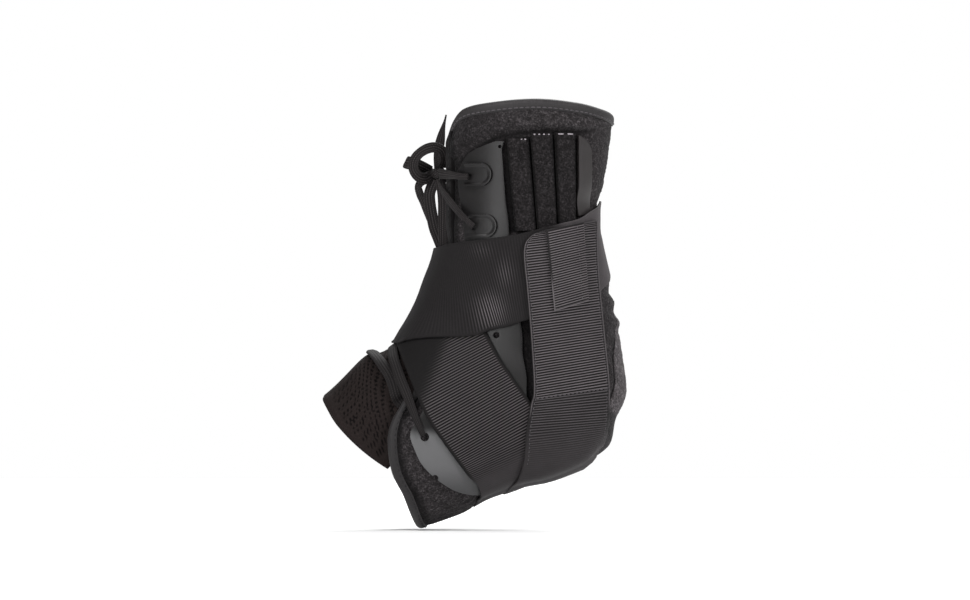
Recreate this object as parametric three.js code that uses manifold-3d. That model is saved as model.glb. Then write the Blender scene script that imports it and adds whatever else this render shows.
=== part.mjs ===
// A lace-up ankle brace with a stirrup strap, as worn on a left ankle, with no foot in it.
// Millimetres, +Z up the leg, toes towards -X, outer (lateral) side towards -Y, origin in the ankle.
import * as THREE from 'three';
import { mergeVertices } from 'three/addons/utils/BufferGeometryUtils.js';
import Module from 'manifold-3d';

const wasm = await Module();
wasm.setup();

// Sizes that drive the rest
const bend = { x: -91.8, z: 53.6 }; // the line in front of the instep that the foot turns about
const fullness = 0.1; // how much fuller than an ellipse each section is
const gap = 0.3;
const panelThick = 3;
const tongueThick = 2;
const tongueDepth = 4.8; // from the outer face of the panels down to the outer face of the tongue
const bindingProud = 0.5;
const collarHeight = 5.6;
const frontBindingTurn = 9; // width of the binding down the lacing edge, in degrees round the leg
const toeBindingTurn = 2.3; // width of the toe binding, in degrees round the bend
const toeBindingLap = 2; // degrees by which it starts in front of the lacing edge
const seamTurn = 0.9; // half the gap at the back and sole seams, in degrees round the section
const plateLift = 0.8; // of the plates, channels and stays off the panels
const plateThick = 1.4;
const channelThick = 2.2;
const stayThick = 1.6;
const eyeletThick = 1.5;
const eyeletRound = 0.94; // share of a half circle at its rear
const webThick = 1.2;
const tabThick = 1.1;
const diagonalLift = { panel: 1.3, plate: 3.1, sole: 0.6 }; // off the panels, by what it lies on
const diagonalRise = { from: 12, to: 34 }; // turns over which it climbs onto the plate
const diagonalFall = { from: 148, to: 166 }; // and comes down again under the sole
const strapGap = 0.9; // between one strap and the next over it
const stirrupLift = 1.1; // where it lies on the panel
const stirrupOffWrap = { from: 3, to: 10 }; // degrees below the wrap strap where it comes down
const stirrupOnDiagonal = { from: -14, to: -2 }; // degrees from the diagonal strap where it climbs
const tabGap = 0.7;
const laceWide = 3.2;
const laceSides = 8;
const knotFacets = { round: 10, up: 6 };
const drillPin = { reach: 30, sides: 10 };
const seenPasses = 8; // to settle where a raised point is seen, and how far each goes
const seenShare = 0.7;
const collarPasses = 6;
const degree = Math.PI / 180;

// The boot's outer face. at is mm above the bend on the leg (below zero) and degrees round it (above
// zero); front and back are measured from the bend, and half is half the width of the section.
const stations = [
  { at: -80, front: 42.0, back: 130.0, half: 38.0 },
  { at: -63, front: 42.2, back: 129.0, half: 38.0 },
  { at: -40, front: 42.6, back: 126.0, half: 37.0 },
  { at: -28, front: 42.9, back: 124.0, half: 36.4 },
  { at: -20, front: 43.0, back: 121.2, half: 36.0 },
  { at: -12, front: 42.9, back: 120.6, half: 35.8 },
  { at: 0, front: 42.6, back: 121.6, half: 35.5 },
  { at: 10, front: 42.2, back: 128.6, half: 35.5 },
  { at: 20, front: 42.0, back: 140.5, half: 36.0 },
  { at: 25, front: 42.1, back: 147.4, half: 36.0 },
  { at: 30, front: 42.4, back: 156.2, half: 36.0 },
  { at: 35, front: 43.3, back: 158.8, half: 35.6 },
  { at: 40, front: 44.6, back: 164.4, half: 35.0 },
  { at: 50, front: 47.8, back: 155.6, half: 35.0 },
  { at: 60, front: 52.0, back: 146.8, half: 36.5 },
  { at: 70, front: 57.0, back: 148.8, half: 38.0 },
  { at: 79, front: 57.4, back: 149.8, half: 38.5 },
  { at: 87, front: 57.4, back: 150.0, half: 38.5 },
  { at: 95, front: 65.4, back: 150.0, half: 38.5 },
  { at: 107, front: 86.0, back: 150.0, half: 38.0 },
];

// Edges of the boot, lateral side: where the top, toe, lacing and rear edges run
const topEdge = [
  { turn: 10, at: -46 },
  { turn: 20, at: -53 },
  { turn: 30, at: -61.5 },
  { turn: 40, at: -66.4 },
  { turn: 62, at: -69.4 },
  { turn: 95, at: -71.3 },
  { turn: 126, at: -69.3 },
  { turn: 150, at: -66.4 },
  { turn: 180, at: -63.3 },
];
const toeEdge = [
  { turn: 52, at: 66 },
  { turn: 60, at: 72 },
  { turn: 69, at: 76.4 },
  { turn: 77, at: 79.8 },
  { turn: 88, at: 81.9 },
  { turn: 109, at: 82.1 },
  { turn: 130, at: 80.2 },
  { turn: 180, at: 78.6 },
];
const lacingEdge = [
  { at: -80, turn: 20 },
  { at: 0, turn: 20 },
  { at: 20, turn: 24 },
  { at: 40, turn: 34 },
  { at: 60, turn: 50 },
  { at: 73, turn: 62 },
  { at: 80, turn: 68 },
];
const rearEdge = [
  { at: -80, turn: 180 },
  { at: 12, turn: 180 },
  { at: 18, turn: 168 },
  { at: 24, turn: 156 },
  { at: 30, turn: 151.5 },
  { at: 35, turn: 154 },
  { at: 40, turn: 163 },
  { at: 46, turn: 180 },
  { at: 107, turn: 180 },
];

// Straps and plate, lateral side, as rows of a front edge and a rear edge seen from the side
const plateRows = [
  { frontX: -23.0, frontZ: 103.2, rearX: -18.6, rearZ: 103.2 },
  { frontX: -32.6, frontZ: 99.5, rearX: -19.6, rearZ: 99.5 },
  { frontX: -37.7, frontZ: 95.9, rearX: -19.4, rearZ: 95.9 },
  { frontX: -40.8, frontZ: 89.8, rearX: -18.9, rearZ: 89.8 },
  { frontX: -41.8, frontZ: 82.1, rearX: -18.4, rearZ: 82.1 },
  { frontX: -39.3, frontZ: 62.7, rearX: -16.3, rearZ: 62.7 },
  { frontX: -37.7, frontZ: 38.2, rearX: -13.8, rearZ: 38.2 },
  { frontX: -39.8, frontZ: 17.9, rearX: -10.7, rearZ: 13.8 },
  { frontX: -46.9, frontZ: -2.5, rearX: -9.2, rearZ: -2.5 },
  { frontX: -55.1, frontZ: -20.4, rearX: -7.1, rearZ: -20.4 },
  { frontX: -60.5, frontZ: -35.2, rearX: -6.6, rearZ: -33.1 },
  { frontX: -65.8, frontZ: -44.4, rearX: -7.1, rearZ: -46.0 },
  { frontX: -63.2, frontZ: -54.1, rearX: -10.4, rearZ: -52.4 },
  { frontX: -58.6, frontZ: -62.2, rearX: -19.0, rearZ: -58.0 },
  { frontX: -46.9, frontZ: -72.4, rearX: -28.0, rearZ: -64.0 },
  { frontX: -38.0, frontZ: -75.0, rearX: -33.0, rearZ: -71.6 },
];
const diagonalRows = [
  { frontX: -73.2, frontZ: 0.6, rearX: -34.6, rearZ: 19.5 },
  { frontX: -62.2, frontZ: -26.5, rearX: -21.4, rearZ: -5.1 },
  { frontX: -55.6, frontZ: -39.8, rearX: -13.6, rearZ: -16.6 },
  { frontX: -43.9, frontZ: -56.6, rearX: -2.0, rearZ: -33.1 },
  { frontX: -36.7, frontZ: -66.3, rearX: 7.7, rearZ: -46.9 },
  { frontX: -30.6, frontZ: -74.0, rearX: 15.5, rearZ: -58.0 },
];
const diagonalSole = { front: 67, rear: 47 };
const stirrupRows = [
  { frontX: 2.4, frontZ: 58.4, rearX: 29.4, rearZ: 63.4 },
  { frontX: -5.0, frontZ: 55.2, rearX: 29.6, rearZ: 60.4 },
  { frontX: -8.7, frontZ: 47.9, rearX: 29.6, rearZ: 52.4 },
  { frontX: -7.1, frontZ: 28.1, rearX: 30.4, rearZ: 33.4 },
  { frontX: -5.1, frontZ: 4.6, rearX: 32.6, rearZ: 10.2 },
  { frontX: -3.6, frontZ: -21.9, rearX: 35.2, rearZ: -15.3 },
  { frontX: -5.1, frontZ: -30.6, rearX: 35.7, rearZ: -26.1 },
  { frontX: -7.1, frontZ: -43.4, rearX: 35.2, rearZ: -39.8 },
  { frontX: -8.7, frontZ: -61.2, rearX: 32.8, rearZ: -50.6 },
  { frontX: -15.4, frontZ: -73.0, rearX: 29.6, rearZ: -55.4 },
];
const stirrupSole = { front: 60.6, rear: 42.8 };
const pullTabRows = [
  { frontX: 3.1, frontZ: 58.1, rearX: 21.9, rearZ: 62.2 },
  { frontX: 7.1, frontZ: 17.3, rearX: 24.5, rearZ: 22.4 },
];
const channels = [
  { name: 'front', topZ: 105.6, topX: -17.6, bottomZ: 58.0, bottomX: -12.6, wide: 10.8 },
  { name: 'middle', topZ: 107.9, topX: -4.9, bottomZ: 58.6, bottomX: -1.3, wide: 10.2 },
  { name: 'rear', topZ: 107.9, topX: 8.7, bottomZ: 62.0, bottomX: 9.5, wide: 9.2 },
];
const stayRows = [
  { frontX: 20.0, frontZ: 105.6, rearX: 23.0, rearZ: 105.6 },
  { frontX: 19.6, frontZ: 101.0, rearX: 26.0, rearZ: 101.0 },
  { frontX: 19.6, frontZ: 65.6, rearX: 26.0, rearZ: 67.0 },
];
const eyelets = [
  { name: 'upper', frontX: -38.8, rearX: -25.0, midZ: 86.5, tall: 11.7, holeX: -36.6, holeZ: 85.3 },
  { name: 'lower', frontX: -38.0, rearX: -22.4, midZ: 60.4, tall: 11.7, holeX: -33.7, holeZ: 60.0 },
];
const eyeletHole = 3.4;
const plateHoles = [
  { x: -58.6, z: -46.4, wide: 4.4 },
  { x: -22.4, z: 5.1, wide: 3.2 },
  { x: -20.6, z: 100.6, wide: 1.6 },
];

// The wrap strap's upper and lower edges round the ankle, from the front to the back, and its lift
// off the panels: over the lacing, the plates, the channels and stays, and down to the bare back
const wrapEdges = [
  { turn: 0, upper: 6.8, lower: 72.8 },
  { turn: 17, upper: 5.6, lower: 69.6 },
  { turn: 36, upper: 2.6, lower: 60.3 },
  { turn: 52, upper: 0.7, lower: 48.4 },
  { turn: 70, upper: -0.8, lower: 34.7 },
  { turn: 88, upper: -2.8, lower: 26.0 },
  { turn: 118, upper: -8.2, lower: 18.6 },
  { turn: 135, upper: -10.8, lower: 14.6 },
  { turn: 150, upper: -15.2, lower: 11.4 },
  { turn: 180, upper: -20.0, lower: 8.2 },
];
const wrapLifts = [
  { turn: 0, lift: 3.5 },
  { turn: 12, lift: 3.6 },
  { turn: 28, lift: 4.6 },
  { turn: 45, lift: 4.8 },
  { turn: 105, lift: 4.8 },
  { turn: 122, lift: 4.0 },
  { turn: 140, lift: 3.3 },
  { turn: 154, lift: 2.9 },
  { turn: 168, lift: 1.2 },
  { turn: 180, lift: 0.8 },
];

// The tongue: how far round it reaches, and how its toe end draws back at the sides
const tongueTop = -49;
const tongueTip = 104.5;
const tongueSide = 83;
const tongueSides = { top: 40, toe: 109, spread: 2.2 };
const tongueEndPower = 2.25;
const tongueBulge = { proud: 3.4, from: 50, to: 72, inner: 14, outer: 46 }; // up through the throat
const tongueRidge = { proud: 1.8, from: 54, to: 70, fallFrom: 73, fallTo: 83, inner: -2, outer: 17 };

// Lace routes. The first three lie on the lateral side, and the medial side has their mirror images;
// the others hang from the knot in front of the leg.
const pairedLaces = [
  {
    name: 'lace_lower', steps: 9, route: [
      [-59.3, -42.7, -45.5], [-61.3, -42.5, -41.3], [-63.2, -41.8, -36.7], [-65.0, -40.3, -32.1],
      [-66.7, -38.6, -27.5], [-68.5, -36.6, -22.9], [-70.4, -34.0, -18.4], [-72.1, -30.7, -13.8],
      [-73.5, -26.7, -9.7], [-74.7, -21.7, -6.1], [-75.2, -14.9, -2.7], [-75.0, -9.8, -1.0],
      [-73.9, -6.4, 0.3], [-72.1, -4.9, 1.9],
    ],
  },
  {
    name: 'lace_upper', steps: 4, route: [
      [-36.8, -35.5, 85.3], [-41.1, -32.0, 85.6], [-44.0, -27.2, 86.1], [-46.5, -20.9, 86.5],
      [-49.0, -15.0, 86.9], [-50.6, -10.4, 87.2], [-51.2, -7.0, 87.3],
    ],
  },
  {
    name: 'lace_cross', steps: 6, route: [
      [-33.9, -36.8, 60.2], [-36.4, -35.4, 62.4], [-39.0, -33.2, 65.0], [-41.6, -29.2, 67.8],
      [-44.4, -23.9, 71.2], [-47.1, -19.0, 74.8], [-49.2, -14.2, 77.8], [-50.6, -9.6, 80.2],
      [-51.4, -5.6, 81.8],
    ],
  },
];
const laces = [
  {
    name: 'lace_bar', steps: 12, route: [
      [-74.3, -32.7, -25.6], [-75.7, -30.5, -20.4], [-77.7, -27.7, -15.7], [-80.6, -24.1, -11.4],
      [-83.2, -19.0, -7.9], [-85.4, -13.1, -5.4], [-87.1, -6.7, -4.1], [-87.6, 0.0, -3.6],
      [-87.1, 6.7, -4.1], [-85.4, 13.1, -5.4], [-83.2, 19.0, -7.9], [-80.6, 24.1, -11.4],
      [-77.7, 27.7, -15.7], [-75.7, 30.5, -20.4], [-74.3, 32.7, -25.6],
    ],
  },
  {
    name: 'lace_loop_near', steps: 11, route: [
      [-55.6, -3.6, 86.2], [-58.2, -6.2, 84.8], [-61.6, -8.2, 85.6], [-64.2, -9.4, 88.8],
      [-64.4, -10.0, 93.0], [-62.2, -10.2, 96.8], [-58.2, -10.2, 99.6], [-53.8, -9.8, 100.6],
      [-50.2, -9.2, 99.0], [-48.7, -8.4, 95.8], [-49.0, -6.8, 92.8], [-50.2, -4.6, 90.8],
    ],
  },
  {
    name: 'lace_loop_far', steps: 8, route: [
      [-55.8, -0.4, 88.4], [-58.8, -1.2, 90.0], [-62.6, -1.6, 91.8], [-66.0, -1.0, 92.9],
      [-68.2, 1.4, 93.3], [-67.8, 4.8, 93.0], [-64.6, 6.8, 91.8], [-60.6, 6.6, 90.2],
      [-57.2, 5.2, 88.6], [-55.0, 3.6, 87.4],
    ],
  },
  {
    name: 'lace_end_up', steps: 4, route: [
      [-51.7, 0.4, 90.4], [-51.9, 1.5, 95.2], [-51.6, 2.4, 100.0], [-50.8, 2.9, 104.6],
      [-49.9, 3.1, 109.2], [-48.8, 3.0, 113.6], [-47.9, 2.7, 117.4],
    ],
  },
  {
    name: 'lace_tail_far', steps: 7, route: [
      [-56.1, 1.6, 84.5], [-59.6, 2.8, 83.8], [-62.0, 4.0, 81.2], [-61.4, 5.0, 77.4],
      [-59.4, 5.4, 72.6], [-57.3, 5.2, 67.4], [-54.8, 4.8, 61.6], [-52.0, 4.3, 55.6],
      [-50.0, 3.9, 49.6], [-49.4, 3.7, 43.6],
    ],
  },
  {
    name: 'lace_tail_near', steps: 6, route: [
      [-54.5, -2.6, 82.7], [-57.4, -3.2, 80.4], [-58.8, -3.6, 76.8], [-58.4, -3.8, 71.6],
      [-57.0, -3.9, 65.6], [-54.8, -3.9, 59.6], [-52.2, -3.8, 54.2], [-50.0, -3.6, 49.0],
      [-49.4, -3.5, 43.6],
    ],
  },
  {
    name: 'lace_tail_side', steps: 5, route: [
      [-50.6, -9.6, 76.9], [-50.7, -9.9, 71.6], [-50.4, -10.1, 66.0], [-50.0, -10.1, 60.2],
      [-49.5, -9.9, 54.6], [-49.2, -9.6, 49.4], [-49.2, -9.3, 44.6],
    ],
  },
];
const knot = { x: -51.8, y: -1.4, z: 86.6, deep: 7.0, wide: 9.4, tall: 7.6 };

// The padded roll under the collar, and the gathers above the heel
const collarRoll = { proud: 1.8, from: -52, to: -58, startTurn: 140, endTurn: 172 };
const gathers = { from: 8.6, to: 21, fade: 2, count: 3, deep: 0.9, startTurn: 142, fullTurn: 166 };

const materials = {
  loop: { color: 0x232122, roughness: 0.95, metalness: 0 },
  tongue: { color: 0x1c1716, roughness: 0.9, metalness: 0 },
  binding: { color: 0x2a2829, roughness: 0.6, metalness: 0 },
  plate: { color: 0x434144, roughness: 0.5, metalness: 0 },
  stay: { color: 0x484443, roughness: 0.5, metalness: 0 },
  web: { color: 0x2b2a2b, roughness: 0.8, metalness: 0 },
  lace: { color: 0x1f1d1e, roughness: 0.8, metalness: 0 },
};

const brace = new THREE.Group();

function add(name, geometry, material) {
  const mesh = new THREE.Mesh(geometry, new THREE.MeshStandardMaterial(materials[material]));
  mesh.name = name;
  brace.add(mesh);
}

function mix(a, b, share) {
  return a + (b - a) * share;
}

function ramp(from, to, value) {
  const share = Math.min(1, Math.max(0, (value - from) / (to - from)));
  return share * share * (3 - 2 * share);
}

// A smooth curve through one column of a table, read at a value of its key column
function read(table, key, column, value) {
  const last = table.length - 1;
  let row = 0;
  while (row < last - 1 && value > table[row + 1][key]) row += 1;
  const slope = (i) => {
    const before = table[Math.max(i - 1, 0)];
    const after = table[Math.min(i + 1, last)];
    return (after[column] - before[column]) / (after[key] - before[key]);
  };
  const span = table[row + 1][key] - table[row][key];
  const t = Math.min(1, Math.max(0, (value - table[row][key]) / span));
  const start = table[row][column];
  const end = table[row + 1][column];
  return (2 * t ** 3 - 3 * t ** 2 + 1) * start + (3 * t ** 2 - 2 * t ** 3) * end
    + span * ((t ** 3 - 2 * t ** 2 + t) * slope(row) + (t ** 3 - t ** 2) * slope(row + 1));
}

// A place on the boot's outer face. turn is 0 at the front, 180 behind, and above zero laterally.
function skin(at, turn) {
  const front = read(stations, 'at', 'front', at);
  const back = read(stations, 'at', 'back', at);
  const half = read(stations, 'at', 'half', at);
  const across = Math.cos(turn * degree);
  const aside = Math.sin(turn * degree);
  const out = (front + back) / 2 - (back - front) / 2 * across;
  const y = -half * aside * (1 + fullness * across * across);
  const angle = Math.max(at, 0) * degree;
  return new THREE.Vector3(
    bend.x + out * Math.cos(angle),
    y,
    bend.z + Math.max(-at, 0) - out * Math.sin(angle),
  );
}

// The same place raised off the face along its normal
function raised(at, turn, lift) {
  const step = 0.5;
  const along = skin(at + step, turn).sub(skin(at - step, turn));
  const round = skin(at, turn + step).sub(skin(at, turn - step));
  const normal = along.cross(round).normalize();
  return skin(at, turn).addScaledVector(normal, lift);
}

// The place on the lateral face that a side view shows at x, z
function seenOnSkin(x, z) {
  const dx = x - bend.x;
  const drop = bend.z - z;
  const at = drop < 0 ? drop : Math.atan2(drop, dx) / degree;
  const out = drop < 0 ? dx : Math.hypot(dx, drop);
  const front = read(stations, 'at', 'front', at);
  const back = read(stations, 'at', 'back', at);
  const across = ((front + back) / 2 - out) / ((back - front) / 2);
  return { at, turn: Math.acos(Math.min(1, Math.max(-1, across))) / degree };
}

// The place whose raised point a side view shows at x, z. liftAt gives the lift at a place.
function seen(x, z, liftAt) {
  const aim = { x, z };
  let spot = seenOnSkin(x, z);
  for (let pass = 0; pass < seenPasses; pass += 1) {
    const point = raised(spot.at, spot.turn, liftAt(spot));
    aim.x += (x - point.x) * seenShare;
    aim.z += (z - point.z) * seenShare;
    spot = seenOnSkin(aim.x, aim.z);
  }
  return spot;
}

// Gives triangles that enclose a positive volume
function solid(points, triangles) {
  const geometry = new THREE.BufferGeometry();
  const flat = points.flatMap((p) => [p.x, p.y, p.z]);
  let volume = 0;
  for (const [a, b, c] of triangles) {
    volume += points[a].dot(new THREE.Vector3().crossVectors(points[b], points[c]));
  }
  const outward = volume > 0 ? triangles : triangles.map(([a, b, c]) => [a, c, b]);
  geometry.setAttribute('position', new THREE.Float32BufferAttribute(flat, 3));
  geometry.setIndex(outward.flat());
  return geometry;
}

// A wall laid on the boot: place(u, v) gives at, turn and the lifts of its two faces
function slab({ long, wide, place, loop = false }) {
  const rows = loop ? long : long + 1;
  const points = [];
  for (const face of ['low', 'high']) {
    for (let i = 0; i < rows; i += 1) {
      for (let j = 0; j <= wide; j += 1) {
        const spot = place(i / long, j / wide);
        points.push(raised(spot.at, spot.turn, spot[face]));
      }
    }
  }
  const id = (face, i, j) => face * rows * (wide + 1) + (i % rows) * (wide + 1) + j;
  const triangles = [];
  const quad = (a, b, c, d) => triangles.push([a, b, c], [a, c, d]);
  for (let i = 0; i < long; i += 1) {
    for (let j = 0; j < wide; j += 1) {
      quad(id(0, i, j), id(0, i + 1, j), id(0, i + 1, j + 1), id(0, i, j + 1));
      quad(id(1, i, j), id(1, i, j + 1), id(1, i + 1, j + 1), id(1, i + 1, j));
    }
    quad(id(0, i, 0), id(1, i, 0), id(1, i + 1, 0), id(0, i + 1, 0));
    quad(id(0, i, wide), id(0, i + 1, wide), id(1, i + 1, wide), id(1, i, wide));
  }
  if (!loop) {
    for (let j = 0; j < wide; j += 1) {
      quad(id(0, 0, j), id(0, 0, j + 1), id(1, 0, j + 1), id(1, 0, j));
      quad(id(0, long, j), id(1, long, j), id(1, long, j + 1), id(0, long, j + 1));
    }
  }
  return solid(points, triangles);
}

// The same wall on the medial side
function mirrored(place) {
  return (u, v) => {
    const spot = place(u, v);
    return { ...spot, turn: -spot.turn };
  };
}

function bothSides(name, material, shape, cut = (geometry) => geometry) {
  add(`lateral_${name}`, cut(slab(shape), -1), material);
  add(`medial_${name}`, cut(slab({ ...shape, place: mirrored(shape.place) }), 1), material);
}

// A strap's rows as edges on the boot, with its turn under the sole added where it has one
function edgesOf(rows, liftAt, sole) {
  const edges = rows.map((row) => ({
    front: seen(row.frontX, row.frontZ, liftAt),
    rear: seen(row.rearX, row.rearZ, liftAt),
  }));
  if (sole) {
    edges.push({ front: { at: sole.front, turn: 180 }, rear: { at: sole.rear, turn: 180 } });
  }
  return edges.map((edge, i) => ({
    row: i,
    frontAt: edge.front.at,
    frontTurn: edge.front.turn,
    rearAt: edge.rear.at,
    rearTurn: edge.rear.turn,
  }));
}

function onStrap(edges, row, v) {
  return {
    at: mix(read(edges, 'row', 'frontAt', row), read(edges, 'row', 'rearAt', row), v),
    turn: mix(read(edges, 'row', 'frontTurn', row), read(edges, 'row', 'rearTurn', row), v),
  };
}

// Cuts round holes through a wall, along Y
function drill(geometry, side, holes) {
  const toManifold = (shape) => {
    const bare = shape.clone();
    bare.deleteAttribute('normal');
    bare.deleteAttribute('uv');
    const merged = mergeVertices(bare);
    return new wasm.Manifold(new wasm.Mesh({
      numProp: 3,
      vertProperties: new Float32Array(merged.attributes.position.array),
      triVerts: new Uint32Array(merged.index.array),
    }));
  };
  let body = toManifold(geometry);
  for (const hole of holes) {
    const radius = hole.wide / 2;
    const pin = new THREE.CylinderGeometry(radius, radius, drillPin.reach, drillPin.sides);
    const spot = seenOnSkin(hole.x, hole.z);
    pin.translate(hole.x, skin(spot.at, spot.turn * -side).y, hole.z);
    body = body.subtract(toManifold(pin));
  }
  const mesh = body.getMesh();
  const cut = new THREE.BufferGeometry();
  cut.setAttribute('position', new THREE.Float32BufferAttribute(mesh.vertProperties, 3));
  cut.setIndex(Array.from(mesh.triVerts));
  return cut;
}

// Small folds in the fabric above the heel
function gather(at, turn) {
  const inside = ramp(gathers.from, gathers.from + gathers.fade, at)
    * (1 - ramp(gathers.to - gathers.fade, gathers.to, at));
  const behind = ramp(gathers.startTurn, gathers.fullTurn, Math.abs(turn));
  const wave = Math.sin((at - gathers.from) / (gathers.to - gathers.from) * gathers.count * 2 * Math.PI);
  return inside * behind * gathers.deep * wave;
}

// The rear seam, which meets its mirror image on the middle line above and below the heel panel
function rearSeam(at) {
  return Math.min(180, read(rearEdge, 'at', 'turn', at));
}

// The place a share u of the way from the collar to the toe binding. turnAt gives its turn at a
// height, and each pass brings the two nearer to agreeing.
function belowCollar(u, turnAt) {
  let at = mix(topEdge[topEdge.length - 1].at, toeEdge[toeEdge.length - 1].at, u);
  let turn = 0;
  for (let pass = 0; pass < collarPasses; pass += 1) {
    turn = turnAt(at);
    const top = read(topEdge, 'turn', 'at', turn) + collarHeight + gap;
    const toe = read(toeEdge, 'turn', 'at', turn) - toeBindingTurn - gap;
    at = mix(top, toe, u);
  }
  return { at, turn };
}

function onPanel(u, v) {
  const spot = belowCollar(u, (at) => {
    const from = read(lacingEdge, 'at', 'turn', at) + frontBindingTurn + seamTurn;
    return mix(from, rearSeam(at) - seamTurn, v);
  });
  const fold = gather(spot.at, spot.turn);
  const roll = collarRoll.proud * ramp(-collarRoll.from, -collarRoll.to, -spot.at)
    * (1 - ramp(collarRoll.startTurn, collarRoll.endTurn, spot.turn));
  return { ...spot, low: fold - panelThick, high: fold + roll };
}

bothSides('panel', 'loop', { long: 24, wide: 9, place: onPanel });

// Heel panel between the two rear seams
const heel = { from: 13.6, to: 44.6 };
add('heel_panel', slab({
  long: 12,
  wide: 8,
  place: (u, v) => {
    const at = mix(heel.from, heel.to, u);
    const edge = rearSeam(at) + seamTurn;
    const turn = mix(edge, 360 - edge, v);
    const fold = gather(at, 180 - Math.abs(180 - turn));
    return { at, turn, low: fold - panelThick, high: fold };
  },
}), 'loop');

// Tongue inside the lacing edges, out past the toe edge
function tongueHigh(at, turn) {
  const inThroat = 1 - ramp(tongueBulge.inner, tongueBulge.outer, Math.abs(turn));
  const onRidge = 1 - ramp(tongueRidge.inner, tongueRidge.outer, Math.abs(turn));
  const ridge = onRidge * ramp(tongueRidge.from, tongueRidge.to, at)
    * (1 - ramp(tongueRidge.fallFrom, tongueRidge.fallTo, at));
  const bulge = inThroat * ramp(tongueBulge.from, tongueBulge.to, at);
  return tongueBulge.proud * bulge + tongueRidge.proud * ridge - tongueDepth;
}

add('tongue', slab({
  long: 20,
  wide: 8,
  place: (u, v) => {
    const side = mix(tongueSides.top, tongueSides.toe, u ** tongueSides.spread);
    const turn = mix(-side, side, v);
    const end = mix(tongueTip, tongueSide, (Math.abs(turn) / tongueSides.toe) ** tongueEndPower);
    const at = mix(tongueTop, end, u);
    const high = tongueHigh(at, turn);
    return { at, turn, low: high - tongueThick, high };
  },
}), 'tongue');

// Bindings round the top, down the lacing edges and along the toe edges
const bound = { low: -panelThick - bindingProud, high: bindingProud };
add('collar_binding', slab({
  long: 40,
  wide: 2,
  place: (u, v) => {
    const start = lacingEdge[0].turn;
    const turn = mix(start, 360 - start, u);
    const top = read(topEdge, 'turn', 'at', 180 - Math.abs(180 - turn));
    return { at: top + collarHeight * v, turn, ...bound };
  },
}), 'binding');

bothSides('front_binding', 'binding', {
  long: 24,
  wide: 2,
  place: (u, v) => ({
    ...belowCollar(u, (at) => read(lacingEdge, 'at', 'turn', at) + frontBindingTurn * v),
    ...bound,
  }),
});

bothSides('toe_binding', 'binding', {
  long: 16,
  wide: 2,
  place: (u, v) => {
    const start = lacingEdge[lacingEdge.length - 1].turn - toeBindingLap;
    const turn = mix(start, 180 - seamTurn, u);
    return { at: read(toeEdge, 'turn', 'at', turn) - toeBindingTurn * (1 - v), turn, ...bound };
  },
});

// Side plates with their holes
const plateTop = plateLift + plateThick;
const plateEdges = edgesOf(plateRows, () => plateTop);
bothSides('plate', 'plate', {
  long: 18,
  wide: 4,
  place: (u, v) => {
    const spot = onStrap(plateEdges, u * (plateRows.length - 1), v);
    return { ...spot, low: plateLift, high: plateTop };
  },
}, (geometry, side) => drill(geometry, side, plateHoles));

// Raised D-shaped eyelets on the plates
for (const eyelet of eyelets) {
  bothSides(`eyelet_${eyelet.name}`, 'plate', {
    long: 6,
    wide: 2,
    place: (u, v) => {
      const rise = Math.sin((u - 0.5) * eyeletRound * Math.PI);
      const radius = eyelet.tall / 2;
      const rear = eyelet.rearX - radius + radius * Math.sqrt(1 - rise * rise);
      const low = plateTop + 2 * gap;
      const high = low + eyeletThick;
      return { ...seen(mix(eyelet.frontX, rear, v), eyelet.midZ - rise * radius, () => high), low, high };
    },
  }, (geometry, side) => drill(geometry, side, [
    { x: eyelet.holeX, z: eyelet.holeZ, wide: eyeletHole },
  ]));
}

// Stay channels and the smooth rear stay
for (const channel of channels) {
  bothSides(`channel_${channel.name}`, 'loop', {
    long: 6,
    wide: 2,
    place: (u, v) => {
      const x = mix(channel.topX, channel.bottomX, u) + channel.wide * v;
      const high = plateLift + channelThick;
      const spot = seen(x, mix(channel.topZ, channel.bottomZ, u), () => high);
      return { ...spot, low: plateLift, high };
    },
  });
}

const stayTop = plateLift + stayThick;
const stayEdges = edgesOf(stayRows, () => stayTop);
bothSides('stay', 'stay', {
  long: 8,
  wide: 2,
  place: (u, v) => {
    const spot = onStrap(stayEdges, u * (stayRows.length - 1), v);
    return { ...spot, low: plateLift, high: stayTop };
  },
});

// Wrap strap, a whole loop round the ankle
function wrapBase(turn) {
  return read(wrapLifts, 'turn', 'lift', Math.abs(turn));
}

add('wrap_strap', slab({
  long: 40,
  wide: 5,
  loop: true,
  place: (u, v) => {
    const turn = mix(-180, 180, u);
    const upper = read(wrapEdges, 'turn', 'upper', Math.abs(turn));
    const lower = read(wrapEdges, 'turn', 'lower', Math.abs(turn));
    const low = wrapBase(turn);
    return { at: mix(upper, lower, v), turn, low, high: low + webThick };
  },
}), 'web');

// A strap that runs down the lateral side, under the sole and up the medial side
function underSole(edges, liftAt) {
  return (u, v) => {
    const row = (1 - Math.abs(1 - 2 * u)) * (edges.length - 1);
    const spot = onStrap(edges, row, v);
    const low = liftAt(spot);
    return { at: spot.at, turn: u <= 0.5 ? spot.turn : 360 - spot.turn, low, high: low + webThick };
  };
}

function diagonalBase({ turn }) {
  const aside = mix(diagonalLift.panel, diagonalLift.plate, ramp(diagonalRise.from, diagonalRise.to, turn));
  return mix(aside, diagonalLift.sole, ramp(diagonalFall.from, diagonalFall.to, turn));
}

const diagonalEdges = edgesOf(diagonalRows, (spot) => diagonalBase(spot) + webThick, diagonalSole);

add('diagonal_strap', slab({
  long: 32,
  wide: 5,
  place: underSole(diagonalEdges, diagonalBase),
}), 'web');

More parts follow.
